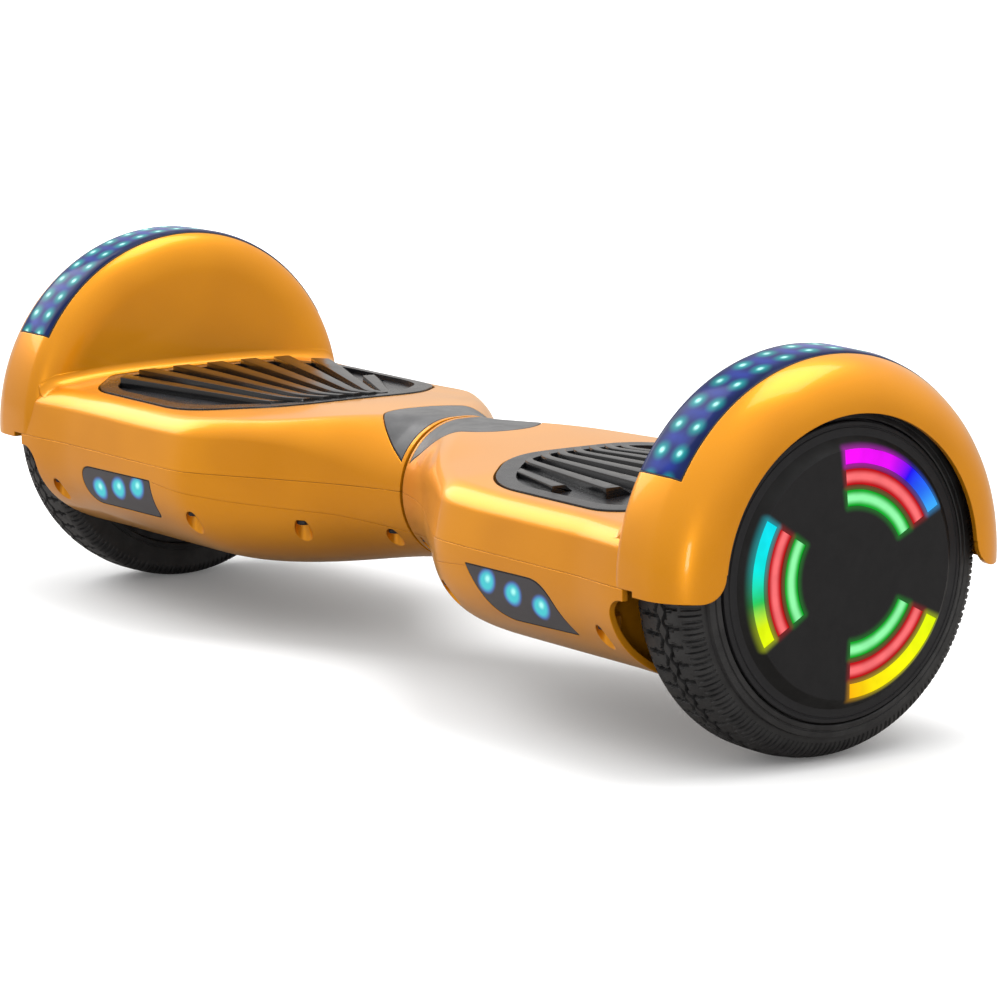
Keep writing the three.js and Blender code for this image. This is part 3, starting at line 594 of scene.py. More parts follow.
def strip_lens_blue(name, pairs):
    """Blue lens with pairs of glowing lamps under it."""
    finish = Finish(name)
    x, _, _ = finish.axes()
    _, angle = finish.polar()
    pitch = (LAMP_LAST_DEG - LAMP_FIRST_DEG) / (pairs - 1)
    place = finish.math("DIVIDE", finish.minus(angle, LAMP_FIRST_DEG), pitch)
    row = finish.minus(place, finish.math("ROUND", place))
    along = finish.times(row, math.radians(pitch) * FENDER_R)
    distances = [finish.hypot(along, finish.minus(x, column)) for column in LAMP_COLUMNS]
    nearest = finish.math("MINIMUM", *distances)
    between = finish.math("ABSOLUTE", row)
    centred = finish.remap(finish.gap(x, (STRIP_IN + STRIP_OUT) / 2), 3, 13, 1, 0)
    band = finish.times(finish.remap(between, 0.1, 0.5, 0.35, 1), centred)
    base = finish.mix(band, (0.016, 0.030, 0.14), (0.035, 0.07, 0.48))
    halo = glow(finish, nearest, 6.2)
    core = glow(finish, nearest, 2.6)
    lit = finish.mix(halo, base, (0.012, 0.62, 0.60))
    lit = finish.mix(core, lit, (0.55, 1.0, 0.95))
    shade = finish.remap(finish.noise(90, 2), 0.3, 0.7, 0.85, 1.1)
    strength = finish.times(shade, finish.remap(core, 0, 1, 0.75, 1.3))
    finish.set(Base_Color=(0, 0, 0), Roughness=0.12, Specular_IOR_Level=0.06, Emission_Color=lit,
               Emission_Strength=strength)
    return finish.bump(finish.noise(60, 2), 0.05, 0.05).material


HEADLIGHT_LAMPS = ((147.5, 69.5), (166, 66.5), (185.5, 63.5))  # distance out, and height
SEEN_WIDTH = 0.8  # the glows are drawn wider than high and tilted, so that they look round to the camera
SEEN_TILT = 0.4


def lamp_distance(finish, offset):
    """Distance in mm from the nearest headlight lamp; the offset moves the lamps towards +X and up."""
    signed = finish.add("SeparateXYZ", {0: finish.position}).outputs[0]
    x, _, z = finish.axes()
    nearest = 100.0
    for lamp_x, lamp_z in HEADLIGHT_LAMPS:
        right = finish.times(finish.minus(x, lamp_x), finish.math("SIGN", signed))
        seen_x = finish.times(right, SEEN_WIDTH)
        seen_z = finish.minus(finish.minus(z, lamp_z + offset), finish.times(seen_x, SEEN_TILT))
        distance = finish.hypot(finish.minus(seen_x, offset), seen_z)
        nearest = finish.math("MINIMUM", nearest, distance)
    return nearest


def headlight_grey():
    """Grey lens with three glowing lamps under it."""
    finish = Finish("headlight_grey")
    disc_distance = lamp_distance(finish, 0)
    base = finish.mix(finish.noise(70, 3), (0.045, 0.042, 0.048), (0.065, 0.060, 0.068))
    lit = finish.mix(finish.remap(disc_distance, 4.6, 6.6, 1, 0), (0.0, 0.0, 0.0), (0.02, 0.11, 0.42))
    lit = finish.mix(finish.remap(disc_distance, 3.0, 5.6, 1, 0), lit, (0.01, 0.55, 0.60))
    lit = finish.mix(glow(finish, lamp_distance(finish, 0.9), 2.6), lit, (0.40, 1.0, 0.92))
    finish.set(Base_Color=base, Roughness=0.3, Specular_IOR_Level=0.3)
    finish.set(Emission_Color=lit, Emission_Strength=1.0)
    return finish.bump(finish.noise(60, 2), 0.05, 0.05).material


ARC_SPANS_DEG = ((28, 95), (149, 209.5), (270, 333))
ARC_RADII = ((30.0, 37.0), (39.3, 46.3), (48.6, 55.0))
ARC_EDGE_COLOURS = ((0.0, 0.40, 0.02), (0.52, 0.0, 0.004), None)  # the outer arcs change along their length
ARC_CORE_COLOURS = ((0.30, 1.0, 0.42), (1.0, 0.17, 0.18), None)
OUTER_COLOURS = (
    (28, (0.05, 0.45, 1.0)), (40, (0.02, 0.16, 1.0)), (52, (0.01, 0.0, 0.90)), (66, (0.80, 0.0, 0.95)),
    (95, (1.0, 0.0, 1.0)), (149, (0.0, 0.80, 0.95)), (172, (0.0, 0.85, 0.80)), (188, (0.02, 0.62, 0.10)),
    (200, (0.75, 0.95, 0.0)), (212, (0.85, 1.0, 0.0)), (269, (1.0, 0.45, 0.0)), (285, (1.0, 0.80, 0.0)),
    (305, (1.0, 1.0, 0.0)), (333, (0.80, 1.0, 0.0)),
)


def outer_arc_colour(finish, angle):
    colours = [(degrees / 360, colour) for degrees, colour in OUTER_COLOURS]
    return finish.ramp(finish.math("DIVIDE", angle, 360), colours)


def arc_light():
    """Light guides: one colour with a paler core for each inner ring, and many round the outer ring."""
    finish = Finish("arc_light")
    radius, angle = finish.polar()
    colour = outer_arc_colour(finish, angle)
    for (inner, outer), edge, core in zip(ARC_RADII[:2], ARC_EDGE_COLOURS, ARC_CORE_COLOURS):
        middle = (inner + outer) / 2
        offset = finish.gap(radius, middle)
        ring = finish.mix(finish.remap(offset, 0.4, 0.46 * (outer - inner), 1, 0), edge, core)
        colour = finish.mix(finish.math("LESS_THAN", offset, 4), colour, ring)
    shade = finish.remap(finish.noise(120, 2), 0.3, 0.7, 0.92, 1.05)
    finish.set(Base_Color=(0.0, 0.0, 0.0), Roughness=0.4, Specular_IOR_Level=0.1, Emission_Color=colour,
               Emission_Strength=shade)
    return finish.material


def arc_distance(finish, radius, angle, ring):
    """Distance in mm from the nearest arc of one ring."""
    inner, outer = ring
    beyond = finish.minus(finish.gap(radius, (inner + outer) / 2), (outer - inner) / 2)
    beyond = finish.math("MAXIMUM", beyond, 0)
    past = 360.0
    for start, end in ARC_SPANS_DEG:
        off = finish.gap(angle, (start + end) / 2)
        past = finish.math("MINIMUM", past, finish.minus(off, (end - start) / 2))
    past = finish.times(finish.math("MAXIMUM", past, 0), math.radians(1) * (inner + outer) / 2)
    return finish.hypot(beyond, past)


def wheel_plastic():
    """Satin black cover plastic, lit from the side by the light guides, with painted shade on the slope
    round the disc.
    """
    finish = Finish("wheel_cover_black")
    radius, angle = finish.polar()
    # painted shade: the slope between the disc and the rim is drawn darker than the disc
    slope = finish.math("GREATER_THAN", radius, 55.4)
    rim = finish.math("GREATER_THAN", radius, 60.0)
    face = finish.mix(slope, (0.008, 0.008, 0.009), (0.003, 0.003, 0.003))
    face = finish.mix(rim, face, (0.018, 0.018, 0.020))
    finish.speckled((0.012, 0.012, 0.012), (0.016, 0.016, 0.016), 70, 0.5, grain=0.12)
    mottle = finish.remap(finish.noise(70, 3), 0.3, 0.7, 0, 0.3)
    finish.set(Base_Color=finish.mix(mottle, face, (0.014, 0.014, 0.015)), Specular_IOR_Level=0.25)
    light = (0.0, 0.0, 0.0)
    for ring, colour in zip(ARC_RADII, ARC_EDGE_COLOURS):
        tint = colour or outer_arc_colour(finish, angle)
        near = finish.remap(arc_distance(finish, radius, angle, ring), 0, 3.2, 0.35, 0)
        light = finish.mix(near, light, tint)
    finish.set(Emission_Color=light, Emission_Strength=0.8)
    return finish.material


GOLD = pearl_paint("gold_paint", (0.74, 0.27, 0.002), (0.82, 0.31, 0.003), (0.88, 0.46, 0.13))
# a darker copy of the gold paint: painted shade on the ring in the groove between the halves
SHADED_JOINT_GOLD = pearl_paint("joint_gold_painted_shade", (0.24, 0.06, 0.003), (0.30, 0.08, 0.005), (0.42, 0.18, 0.05))
TRIM = trim_plastic()
PAD = pad_rubber()
PAD_RIM = pad_rim_plastic()
TYRE = tyre_rubber()
# black for the charge cap, and painted shade for the gaps round the lenses
CAP_BLACK_AND_GAP_SHADE = plain_black()
BLACK_PLASTIC = plain_black("socket_black")
COVER = wheel_plastic()
ARC = arc_light()
RIGHT_STRIP = strip_lens_blue("right_strip_blue", RIGHT_LAMP_PAIRS)
LEFT_STRIP = strip_lens_blue("left_strip_blue", LEFT_LAMP_PAIRS)
HEADLIGHT = headlight_grey()
CAST = machined("cast_aluminium", (0.28, 0.29, 0.30), (0.38, 0.39, 0.40), 0.5)
DARK_METAL = machined("rim_dark", (0.03, 0.03, 0.032), (0.045, 0.045, 0.048), 0.45)
STEEL = machined("steel", (0.45, 0.46, 0.47), (0.6, 0.61, 0.62), 0.32)
COPPER = machined("copper", (0.30, 0.11, 0.03), (0.42, 0.18, 0.06), 0.4)
CIRCUIT = machined("circuit_green", (0.008, 0.07, 0.025), (0.015, 0.12, 0.04), 0.5, metallic=0.0)
BATTERY = machined("battery_blue", (0.02, 0.06, 0.2), (0.03, 0.08, 0.26), 0.4, metallic=0.0)
CABLE = plain_black("cable_black")


# ---- Shells ----
SCREW_XS = (14, 58, 108, 228)
SCREW_TOP_Z = 63  # the screws are at the top of pockets that open downwards
SCREW_INSET = 4.6  # from the side of the body at that height
TRIM_FLOOR_Z = 94
TRIM_REACH = 60
TRIM_DEPTH = 2
LENS_DEPTH = 2.2
SEAM_LINE = ((132, 74.3), (101, 71.7), (85, 69.9), (63, 68.6), (38, 67.5), (14, 64.3), (-5, 62))


def quarter_arc(r0, x0, r1, x1, bulge_first):
    """Quarter of an ellipse between two points (radius, x), without its first point."""
    points = []
    for angle in QUARTER[1:]:
        along, across = math.sin(angle), 1 - math.cos(angle)
        if not bulge_first:
            along, across = across, along
        points.append((r0 + (r1 - r0) * along, x0 + (x1 - x0) * across))
    return points


def fender_solid(grow=0.0):
    crown = FENDER_R + grow
    profile = [(SHOULDER_R, WELL_WALL_X)]
    profile += quarter_arc(SHOULDER_R, WELL_WALL_X, crown, CREST_X, True)
    profile += quarter_arc(crown, STRIP_OUT - 8, LIP_R, HALF_SPAN, False)
    return turned(profile, AXLE_Z, 256)


def wheel_well():
    foot, start = SHOULDER_R - 3, WELL_WALL_X + 2.4
    profile = [(foot, start)]
    profile += quarter_arc(foot, start, WELL_R, STRIP_IN + 5, True)
    profile += quarter_arc(WELL_R, STRIP_OUT - 10, LIP_R, HALF_SPAN - 2.6, False)
    profile += [(LIP_R, HALF_SPAN + 5)]
    return turned(profile, AXLE_Z, 256)


def lip_corner(side):
    """What the rounded lower corner of the lip leaves out, at the front (side -1) or back (side 1)."""
    reach, middle = LIP_R + LIP_ROUNDING, HEM_Z + LIP_ROUNDING
    arc = [(reach - LIP_ROUNDING * math.sin(a), middle - LIP_ROUNDING * math.cos(a)) for a in QUARTER]
    outline = [(LIP_R - 10, HEM_Z - 10), (reach, HEM_Z - 10), *arc, (LIP_R - 10, middle)]
    return prism([(side * y, z) for y, z in outline], STRIP_OUT, HALF_SPAN + 5, "yz")


STRIP_START_DEG = 30


def strip_sector(inner, outer, grow):
    margin = math.degrees(grow / FENDER_R)
    return sector(inner, outer, STRIP_START_DEG - margin, 180 - STRIP_START_DEG + margin, STRIP_IN - grow,
                  STRIP_OUT + grow, 121)


COVE_R = 5.5
COVE_ROOT = 1.5  # how far its solid reaches into the deck and the mudguard


def wall_x(y, z):
    """Where the mudguard's inboard face is at a given depth and height."""
    above = math.hypot(y, z - AXLE_Z) - SHOULDER_R
    rise = min(1.0, max(0.0, above / (FENDER_R - SHOULDER_R)))
    return WELL_WALL_X + (CREST_X - WELL_WALL_X) * (1 - math.sqrt(1 - rise * rise))


def deck_z(y):
    """Height of the deck at depth y next to the wheel, taken from the body's section."""
    points = [upper_quarter(DECK_END, s, 0) for s in steps(0.2, 1, 241)]
    nearest = min(points, key=lambda point: abs(point[0] - abs(y)))
    return PARTING_Z + nearest[1]


def cove():
    """The hollow rounding between the deck and the mudguard."""
    rows = []
    for y in steps(-90, 90, 121):
        floor = deck_z(y)
        wall = wall_x(y, floor + COVE_R / 2)
        start, top = wall - COVE_R, floor + COVE_R
        arc = [(start + COVE_R * math.sin(a), top - COVE_R * math.cos(a)) for a in QUARTER]
        end, bottom = wall + COVE_ROOT, floor - COVE_ROOT
        outline = [*arc, (end, top), (end, bottom), (start, bottom)]
        rows.append([(x, y, z) for x, z in outline])
    return loft(rows)


def shell_tongue(clearance):
    """Ring that the upper shell reaches down with inside the seam, or with a clearance the room for it."""
    ring = cut(body_solid(MEETING_GAP + 2, CAVITY_END - 1, 1.5 - clearance, 3, 120),
               body_solid(INNER_END, CAVITY_END, WALL + 0.1, 3, 96))
    return common(ring, block(-FAR, -FAR, PARTING_Z - (2 + clearance), FAR, FAR, PARTING_Z + 1.5))


def below(z, x=FAR):
    """Everything under a height, as far out as x."""
    return block(-FAR, -FAR, -FAR, x, FAR, z)


def upper_shell():
    cavity = body_solid(INNER_END, WELL_WALL_X - 4, WALL + 0.4, *HIDDEN)
    outer = body_solid(MEETING_GAP, DECK_END, 0)
    bridge = body_solid(WELL_WALL_X - 8, STRIP_IN + 2, 0)
    fender = cut(joined(fender_solid(), bridge, cove()), wheel_well(), lip_corner(-1), lip_corner(1))
    deck_floor = PAD_FLOOR - 1.3
    tray = common(prism(pad_outline(-2), deck_floor - WALL, FAR), outer)
    shell = joined(cut(outer, cavity), tray, fender)
    shell = cut(shell, below(PARTING_Z + SEAM / 2, HEM_START))
    shell = cut(shell, below(HEM_Z))
    shell = joined(shell, shell_tongue(0))
    shell = cut(shell, prism(pad_outline(0), deck_floor, FAR))
    trim_pocket = cut(prism(trim_outline(GAP), TRIM_FLOOR_Z, FAR),
                      body_solid(INNER_END, TRIM_REACH, TRIM_DEPTH + 0.4, *HIDDEN))
    return cut(shell, trim_pocket, strip_sector(LENS_INNER_R - GAP, FENDER_R + 5, 0.9))


def screw_y(x):
    drop = (PARTING_Z - SCREW_TOP_Z) / belly_depth(x)
    power = belly_power(x)
    return half_width(x) * (1 - drop ** power) ** (1 / power) - SCREW_INSET


def screw_places():
    return [(x, side * screw_y(x)) for x in SCREW_XS for side in (-1, 1)]


def seam_groove(width=0.25, depth=0.22):
    """The fine line on the lower shell's front and back, from the headlight towards the neck."""
    strip = [(x, z + width / 2) for x, z in SEAM_LINE] + [(x, z - width / 2) for x, z in reversed(SEAM_LINE)]
    return cut(prism(strip, -FAR, FAR, "xz"), body_solid(-6, 140, depth, 4, 120))


ARCH_END = 252
ARCH_Z = 77.5
ARCH_ROUNDING = 9


def wheel_arch():
    """What the lower shell leaves out for the tyre, with a rounded corner under the parting joint."""
    corner_x, corner_z = DECK_END + 1 + ARCH_ROUNDING, ARCH_Z - ARCH_ROUNDING
    arc = [(corner_x - ARCH_ROUNDING * math.cos(a), corner_z + ARCH_ROUNDING * math.sin(a))
           for a in steps(0, math.pi / 2, 17)]
    return prism([(DECK_END + 1, -10), *arc, (FAR, ARCH_Z), (FAR, -10)], -FAR, FAR, "xz")


def lower_shell(headlight):
    cavity = body_solid(INNER_END, CAVITY_END, WALL, *HIDDEN)
    recess = body_solid(CAVITY_END + 3, 260, WALL + 0.4, 6, 240)
    shell = cut(body_solid(MEETING_GAP, ARCH_END, 0), cavity, recess, wheel_arch())
    inside = body_solid(MEETING_GAP, DECK_END, 0.01, *HIDDEN)
    bosses = [post(6.6, x, y, BELLY_Z - 5, SCREW_TOP_Z + 4) for x, y in screw_places()]
    pockets = [post(4.4, x, y, 0, SCREW_TOP_Z) for x, y in screw_places()]
    shell = joined(shell, *[common(boss, inside) for boss in bosses])
    shell = cut(shell, block(-FAR, -FAR, PARTING_Z - SEAM / 2, FAR, FAR, FAR), *pockets)
    shell = cut(shell, shell_tongue(GAP))
    shell = cut(shell, front_prism(headlight(-0.6)), seam_groove())
    axle_hole = disc(14, CAVITY_END - 6, 250)
    return cut(shell, axle_hole)


def front_prism(outline, past=0):
    """Runs an outline drawn on the front of the body through its skin."""
    return prism(outline, -160 - past, -60 + past, "xz")


def headlight_skin(top, bottom, spacing):
    """The body's skin round the headlight, between two depths."""
    return cut(body_solid(126, 215, top, spacing), body_solid(120, 220, bottom, 3))


def headlight_lens(headlight):
    return common(headlight_skin(0, LENS_DEPTH, 1.5), front_prism(headlight(0.1)))


# painted shade: a black frame behind the lens's edge, so that the gap round the lens looks dark
def headlight_gap_shade(headlight):
    ring = cut(front_prism(headlight(-0.5)), front_prism(headlight(0.05), 1))
    return common(headlight_skin(0.1, LENS_DEPTH + 0.2, 3), ring)


def screw_heads():
    """The screws in the pockets, with their crossed slots facing down."""
    length, width, slot_top = 2.2, 0.5, SCREW_TOP_Z - 1.4
    heads = []
    for x, y in screw_places():
        head = bevelled(post(3.4, x, y, SCREW_TOP_Z - 2.4, SCREW_TOP_Z), 0.6, 3)
        heads.append(cut(head, block(x - length, y - width, 0, x + length, y + width, slot_top),
                         block(x - width, y - length, 0, x + width, y + length, slot_top)))
    return heads


def neck_trim():
    skin = cut(body_solid(0, TRIM_REACH - 2, 0, 1.0), body_solid(INNER_END, TRIM_REACH, TRIM_DEPTH, 2))
    return common(skin, prism(trim_outline(-GAP), TRIM_FLOOR_Z + GAP, FAR))


def joint_ring():
    """Closes the gap between the halves: a groove between two shells."""
    bore, spigot, flange = 24, 27.4, NECK_R - 2.2
    half = MEETING_GAP - 0.4
    profile = [(bore, -8), (spigot, -8), (spigot, -half), (flange, -half), (flange, half), (spigot, half),
               (spigot, 8), (bore, 8)]
    return turned(profile, PIVOT_Z, 128, closed=True)


def add_shells():
    both_sides("upper_shell", upper_shell(), GOLD, "half", "shell_paint", "upper_shell")
    sockets = [back_cylinder(SOCKET_R + GAP, 20, 10, x) for x in (PORT_X, BUTTON_X)]
    right = cut(lower_shell(right_headlight), *sockets)
    left = lower_shell(left_headlight)
    one_side("right", "lower_shell", right, GOLD, "half", "shell_paint", "lower_shell")
    one_side("left", "lower_shell", left, GOLD, "half", "shell_paint", "lower_shell")
    # painted shade: the screws take the dark rim metal in place of steel, so that they stay dark deep in
    # their pockets
    both_sides("shell_screws", together(screw_heads()), DARK_METAL, "half", "steel")
    both_sides("neck_trim", neck_trim(), TRIM, "half", "trim_plastic", "neck_trim")
    for side, outline in (("left", left_headlight), ("right", right_headlight)):
        lens, gap_shade_frame = headlight_lens(outline), headlight_gap_shade(outline)
        one_side(side, "headlight_lens", lens, HEADLIGHT, "half", "headlight_lens", "headlight_lens")
        one_side(side, "headlight_gap_shade", gap_shade_frame, CAP_BLACK_AND_GAP_SHADE, "half", "headlight_lens")
    lens = bevelled(common(strip_sector(LENS_INNER_R, FENDER_R + 5, 0), fender_solid(0.2)), 0.3)
    for side, material in (("left", LEFT_STRIP), ("right", RIGHT_STRIP)):
        one_side(side, "strip_lens", lens, material, "half", "strip_lens", "strip_lens")
    # painted shade: a black ring under the strip lens's edge, so that the gap round it looks dark
    gap_shade_ring = cut(strip_sector(LENS_INNER_R, FENDER_R + 5, 0.75), strip_sector(80, FENDER_R + 9, 0.1))
    both_sides("strip_gap_shade", common(gap_shade_ring, fender_solid(0.05)), CAP_BLACK_AND_GAP_SHADE, "half", "strip_lens")
    piece("joint_ring_skin", joint_ring(), SHADED_JOINT_GOLD, "left_half", "joint_plastic", "joint_ring")


# ---- Rear sockets ----
PORT_TILT_DEG = 40
PORT_X = 140
BUTTON_X = 180
PORT_Y = 84.4
PORT_Z = 55
SOCKET_R = 8.6
CAP_R = 9.8


def on_back(mesh, x):
    """Moves a mesh drawn along +Z, with z = 0 on the outer surface, to the back of the lower shell."""
    turn = Matrix.Rotation(-math.pi / 2 - math.radians(PORT_TILT_DEG), 4, "X")
    mesh.transform(Matrix.Translation(Vector((x, PORT_Y, PORT_Z)) * MM) @ turn)
    return mesh


def back_cylinder(radius, depth, height, x):
    return on_back(post(radius, 0, 0, -depth, height, 64), x)


def add_sockets():
    port = cut(back_cylinder(SOCKET_R, 16, 0.2, PORT_X), back_cylinder(6.2, 10, 1, PORT_X))
    pins = [on_back(post(1.2, 3.2 * math.cos(a), 3.2 * math.sin(a), -11, -4, 24), PORT_X)
            for a in steps(0, 4 * math.pi / 3, 3)]
    cap = joined(bevelled(back_cylinder(CAP_R, -0.7, 2.3, PORT_X), 0.6, 3),
                 on_back(bevelled(block(-3, 8, 0.7, 3, 15, 1.9), 0.4), PORT_X))
    housing = cut(back_cylinder(SOCKET_R, 14, 0.2, BUTTON_X), back_cylinder(6.8, 8.6, 5, BUTTON_X))
    button = cut(bevelled(back_cylinder(6.4, 6, 1.8, BUTTON_X), 0.5, 3),
                 cut(back_cylinder(3.4, -1.4, 3, BUTTON_X), back_cylinder(2.8, -1.3, 4, BUTTON_X)))
    port = bevelled(port, 0.3)
    piece("charge_port_skin", port, BLACK_PLASTIC, "right_half", "cover_plastic", "charge_port")
    piece("charge_pins_skin", together(pins), STEEL, "right_half", "steel")
    piece("charge_cap_skin", cap, CAP_BLACK_AND_GAP_SHADE, "charge_cap", "cap_rubber", "charge_cap")
    piece("button_housing_skin", bevelled(housing, 0.3), BLACK_PLASTIC, "right_half", "cover_plastic",
          "button_housing")
    piece("power_button_skin", button, STEEL, "power_button", "steel", "power_button")


# ---- Foot pads ----
RIB_TOP_Z = DECK_Z + PAD_STEP + RIB_HEIGHT
RIB_PITCH = 20  # at the outboard end, FAN_END
FIRST_RIB_Y = -61  # front of rib 0 there
MIDDLE_RIB = 3
RIB_START, RIB_END = 96, 226
RIB_FLAT, RIB_FOOT = 0.46, 0.92  # of the pitch: where the flat top ends, and where the slope ends
FAN_X = -4  # the point that the ribs fan out from
FAN_Y = -23
FAN_END = 220
HOOK_START = 112  # inboard of this the ribs bend towards the back
FIELD_DEPTH = 1.6  # how far the floor between the ribs lies below the deck


def rib_spread(x):
    return (x - FAN_X) / (FAN_END - FAN_X)


def rib_front(index, x):
    outboard_y = FIRST_RIB_Y + RIB_PITCH * index
    hook = 0.03 * max(0, HOOK_START - x) ** 2
    return FAN_Y + (outboard_y - FAN_Y) * rib_spread(x) + hook


def rib(index, from_x, to_x):
    """A saw-tooth rib: upright front, flat top, then a slope down to the foot of the next rib."""
    base = PAD_FLOOR + 1
    top = RIB_TOP_Z - CROWN * (abs(index - MIDDLE_RIB) * RIB_PITCH / BODY_HALF_WIDTH) ** 3
    low = top - RIB_HEIGHT - PAD_STEP - FIELD_DEPTH + 0.2
    rows = []
    for x in steps(from_x, to_x, 24):
        front = rib_front(index, x)
        pitch = RIB_PITCH * rib_spread(x)
        flat = front + RIB_FLAT * pitch
        foot = front + RIB_FOOT * pitch
        rows.append([(x, front, base), (x, front, top), (x, flat, top), (x, foot, low), (x, foot, base)])
    return bevelled(loft(rows), 0.3)


def pad_ribs(spans):
    ribs = joined(*[rib(index, start, end) for index, start, end in spans])
    return common(ribs, prism(pad_outline(7.6), 100, 130))


def pad_rim():
    """The pad's plate: its top follows the deck, with a sunk field for the ribs."""
    plate = common(prism(pad_outline(0.9), PAD_FLOOR, FAR), body_solid(80, DECK_END, -PAD_STEP, 3))
    field = cut(prism(pad_outline(7.4), 99, FAR), body_solid(70, DECK_END + 1, FIELD_DEPTH, 3))
    return cut(bevelled(plate, 0.9, 3), field)


def add_pads():
    both_sides("pad_rim", pad_rim(), PAD_RIM, "pad", "pad_rubber", "footpad")
    ribs = [(index, RIB_START, RIB_END) for index in range(1, 7)]
    right = pad_ribs([(-1, 110, 161), (0, RIB_START, 187), *ribs])
    left = pad_ribs([(7, RIB_START, 160), (0, RIB_START, RIB_END), *ribs])
    one_side("right", "pad_ribs", right, PAD, "pad", "pad_rubber")
    one_side("left", "pad_ribs", left, PAD, "pad", "pad_rubber")


# ---- Wheels ----
TREAD_TURN = 960  # steps round the tyre
TREAD_FOOT_R = 76  # the tread's cuts stay outside this radius
BLOCKS = 60  # tread blocks round the tyre
NOTCHES = 180  # small cuts round each shoulder
GROOVE_DEPTH, SLIT_DEPTH, NOTCH_DEPTH = 1.9, 1.7, 1.4
EDGE_OUT = 2.5  # where the tread turns into the outboard shoulder, from the middle plane


def tyre_side(edge, drop, shoulder, wall):
    """Radius and distance from the middle plane, from the tread to the bead, for one side of the tyre.

    The tread is nearly flat up to edge, then a rounded shoulder falls by drop within the width shoulder.
    """
    tread = [(TYRE_R - 0.35 * (t / edge) ** 2, t) for t in steps(0, edge, 20)]
    rounding = [(TYRE_R - 0.35 - drop * (1 - math.cos(a)), edge + shoulder * math.sin(a))
                for a in steps(0, math.pi / 2, 16)[1:]]
    bead = [(73.0, wall), (70.6, wall + 0.5), (70.3, wall + 0.1), (69.9, wall + 0.1), (69.6, wall + 0.7),
            (RIM_R + 1, wall + 1.3), (RIM_R + 0.5, wall + 0.9), (RIM_R + GAP, wall - 2.5)]
    return tread + rounding + bead


def tread_cut(side, turn):
    """How deep the tread is cut, in mm, at a distance from the middle plane and a turn from 0 to 1."""
    block = (turn * BLOCKS) % 1.0
    shoulder = 9.5 if side > 0 else 13.2
    if abs(side) < shoulder:
        wave = 1.6 * math.sin(2 * math.pi * turn * BLOCKS)
        if abs(abs(side) - 2.2 - 0.6 * wave) < 0.8:
            return GROOVE_DEPTH
        shifted = (block + (0.5 if side > 0 else 0.0)) % 1.0
        if abs(shifted - 0.5) < 0.07 and 3.5 < abs(side) < shoulder - 0.6:
            return GROOVE_DEPTH
        if abs(shifted - 0.5) < 0.24 and abs(abs(side) - 0.62 * shoulder) < 0.65:
            return SLIT_DEPTH
        return 0.0
    notch = (turn * NOTCHES) % 2.0
    if notch % 1.0 < 0.30 and abs(side) > shoulder + (0.8 if notch < 1.0 else 2.2):
        return NOTCH_DEPTH
    return 0.0


def tyre():
    middle = (TYRE_IN + TYRE_OUT) / 2
    half = (TYRE_OUT - TYRE_IN) / 2
    outboard = tyre_side(EDGE_OUT, 11.2, 15.0, half)
    inboard = tyre_side(half - 7, 5.5, 6.8, half)
    profile = [(r, -t) for r, t in reversed(inboard)] + outboard[1:]
    rows = []
    for r, t in profile:
        row = []
        for k in range(TREAD_TURN):
            turn = k / TREAD_TURN
            depth = tread_cut(t, turn) if r > TREAD_FOOT_R else 0.0
            angle = 2 * math.pi * turn
            row.append((middle + t, (r - depth) * math.cos(angle), AXLE_Z + (r - depth) * math.sin(angle)))
        rows.append(row)
    well = [(RIM_R - 3.7, TYRE_OUT - 8), (RIM_R - 3.7, TYRE_IN + 8)]
    rows += [[(x, r * math.cos(a), AXLE_Z + r * math.sin(a)) for a in turns(TREAD_TURN)] for r, x in well]
    return loft(rows, closed=True)


def wheel_rim():
    well = RIM_R - 4
    profile = [(11.3, 275), (11.3, 279), (60, 279), (RIM_R - 2, 281.5), (RIM_R, 281.5),
               (RIM_R, TYRE_OUT - 4), (well, TYRE_OUT - 8), (well, TYRE_IN + 8), (RIM_R, TYRE_IN + 4),
               (RIM_R, TYRE_IN + 2), (59.6, TYRE_IN + 2), (59.6, 275)]
    return turned(profile, AXLE_Z, 128, closed=True)


def hub_cover():
    profile = [(17.3, 246.6), (17.3, 255), (21, 255), (21, 250), (59.2, 250), (59.2, 247.2), (57.5, 246.6)]
    return turned(profile, AXLE_Z, 128, closed=True)


def arc_solids(grow, x0, x1):
    arcs = []
    for start, end in ARC_SPANS_DEG:
        for inner, outer in ARC_RADII:
            margin = math.degrees(grow / outer)
            arcs.append(sector(inner - grow, outer + grow, start - margin, end + margin, x0, x1))
    return arcs


def wheel_cover():
    disc_r = 55.6
    profile = [(20, 287), (disc_r - 0.6, 287), (59, 282.6), (RIM_R - 0.5, 282.2), (RIM_R - 0.5, 284.6),
               (RIM_R - 0.9, 285.0), (64.5, 285.2), (64.2, 284.8), (63.8, 284.8), (63.5, 285.25),
               (60.2, 285.5), (59.8, 285.6), (disc_r + 0.3, DISC_X - 0.5), (disc_r - 0.5, DISC_X),
               (20, DISC_X)]
    return cut(turned(profile, AXLE_Z, 256), *arc_solids(0.1, 280, 300))


def add_wheels():
    both_sides("tyre", tyre(), TYRE, "wheel", "tread_rubber", "tyre", sharp=28)
    both_sides("wheel_rim", wheel_rim(), DARK_METAL, "wheel", "rim_aluminium", "wheel_rim")
    both_sides("hub_cover", hub_cover(), CAST, "wheel", "cast_aluminium", "hub_cover")
    both_sides("wheel_cover", wheel_cover(), COVER, "wheel", "cover_plastic", "wheel_cover")
    guides = joined(disc(54.4, 282.5, 286.6), *arc_solids(-0.1, 286, DISC_X - 0.25))
    both_sides("wheel_lights", guides, ARC, "wheel", "light_guide", "wheel_lights")


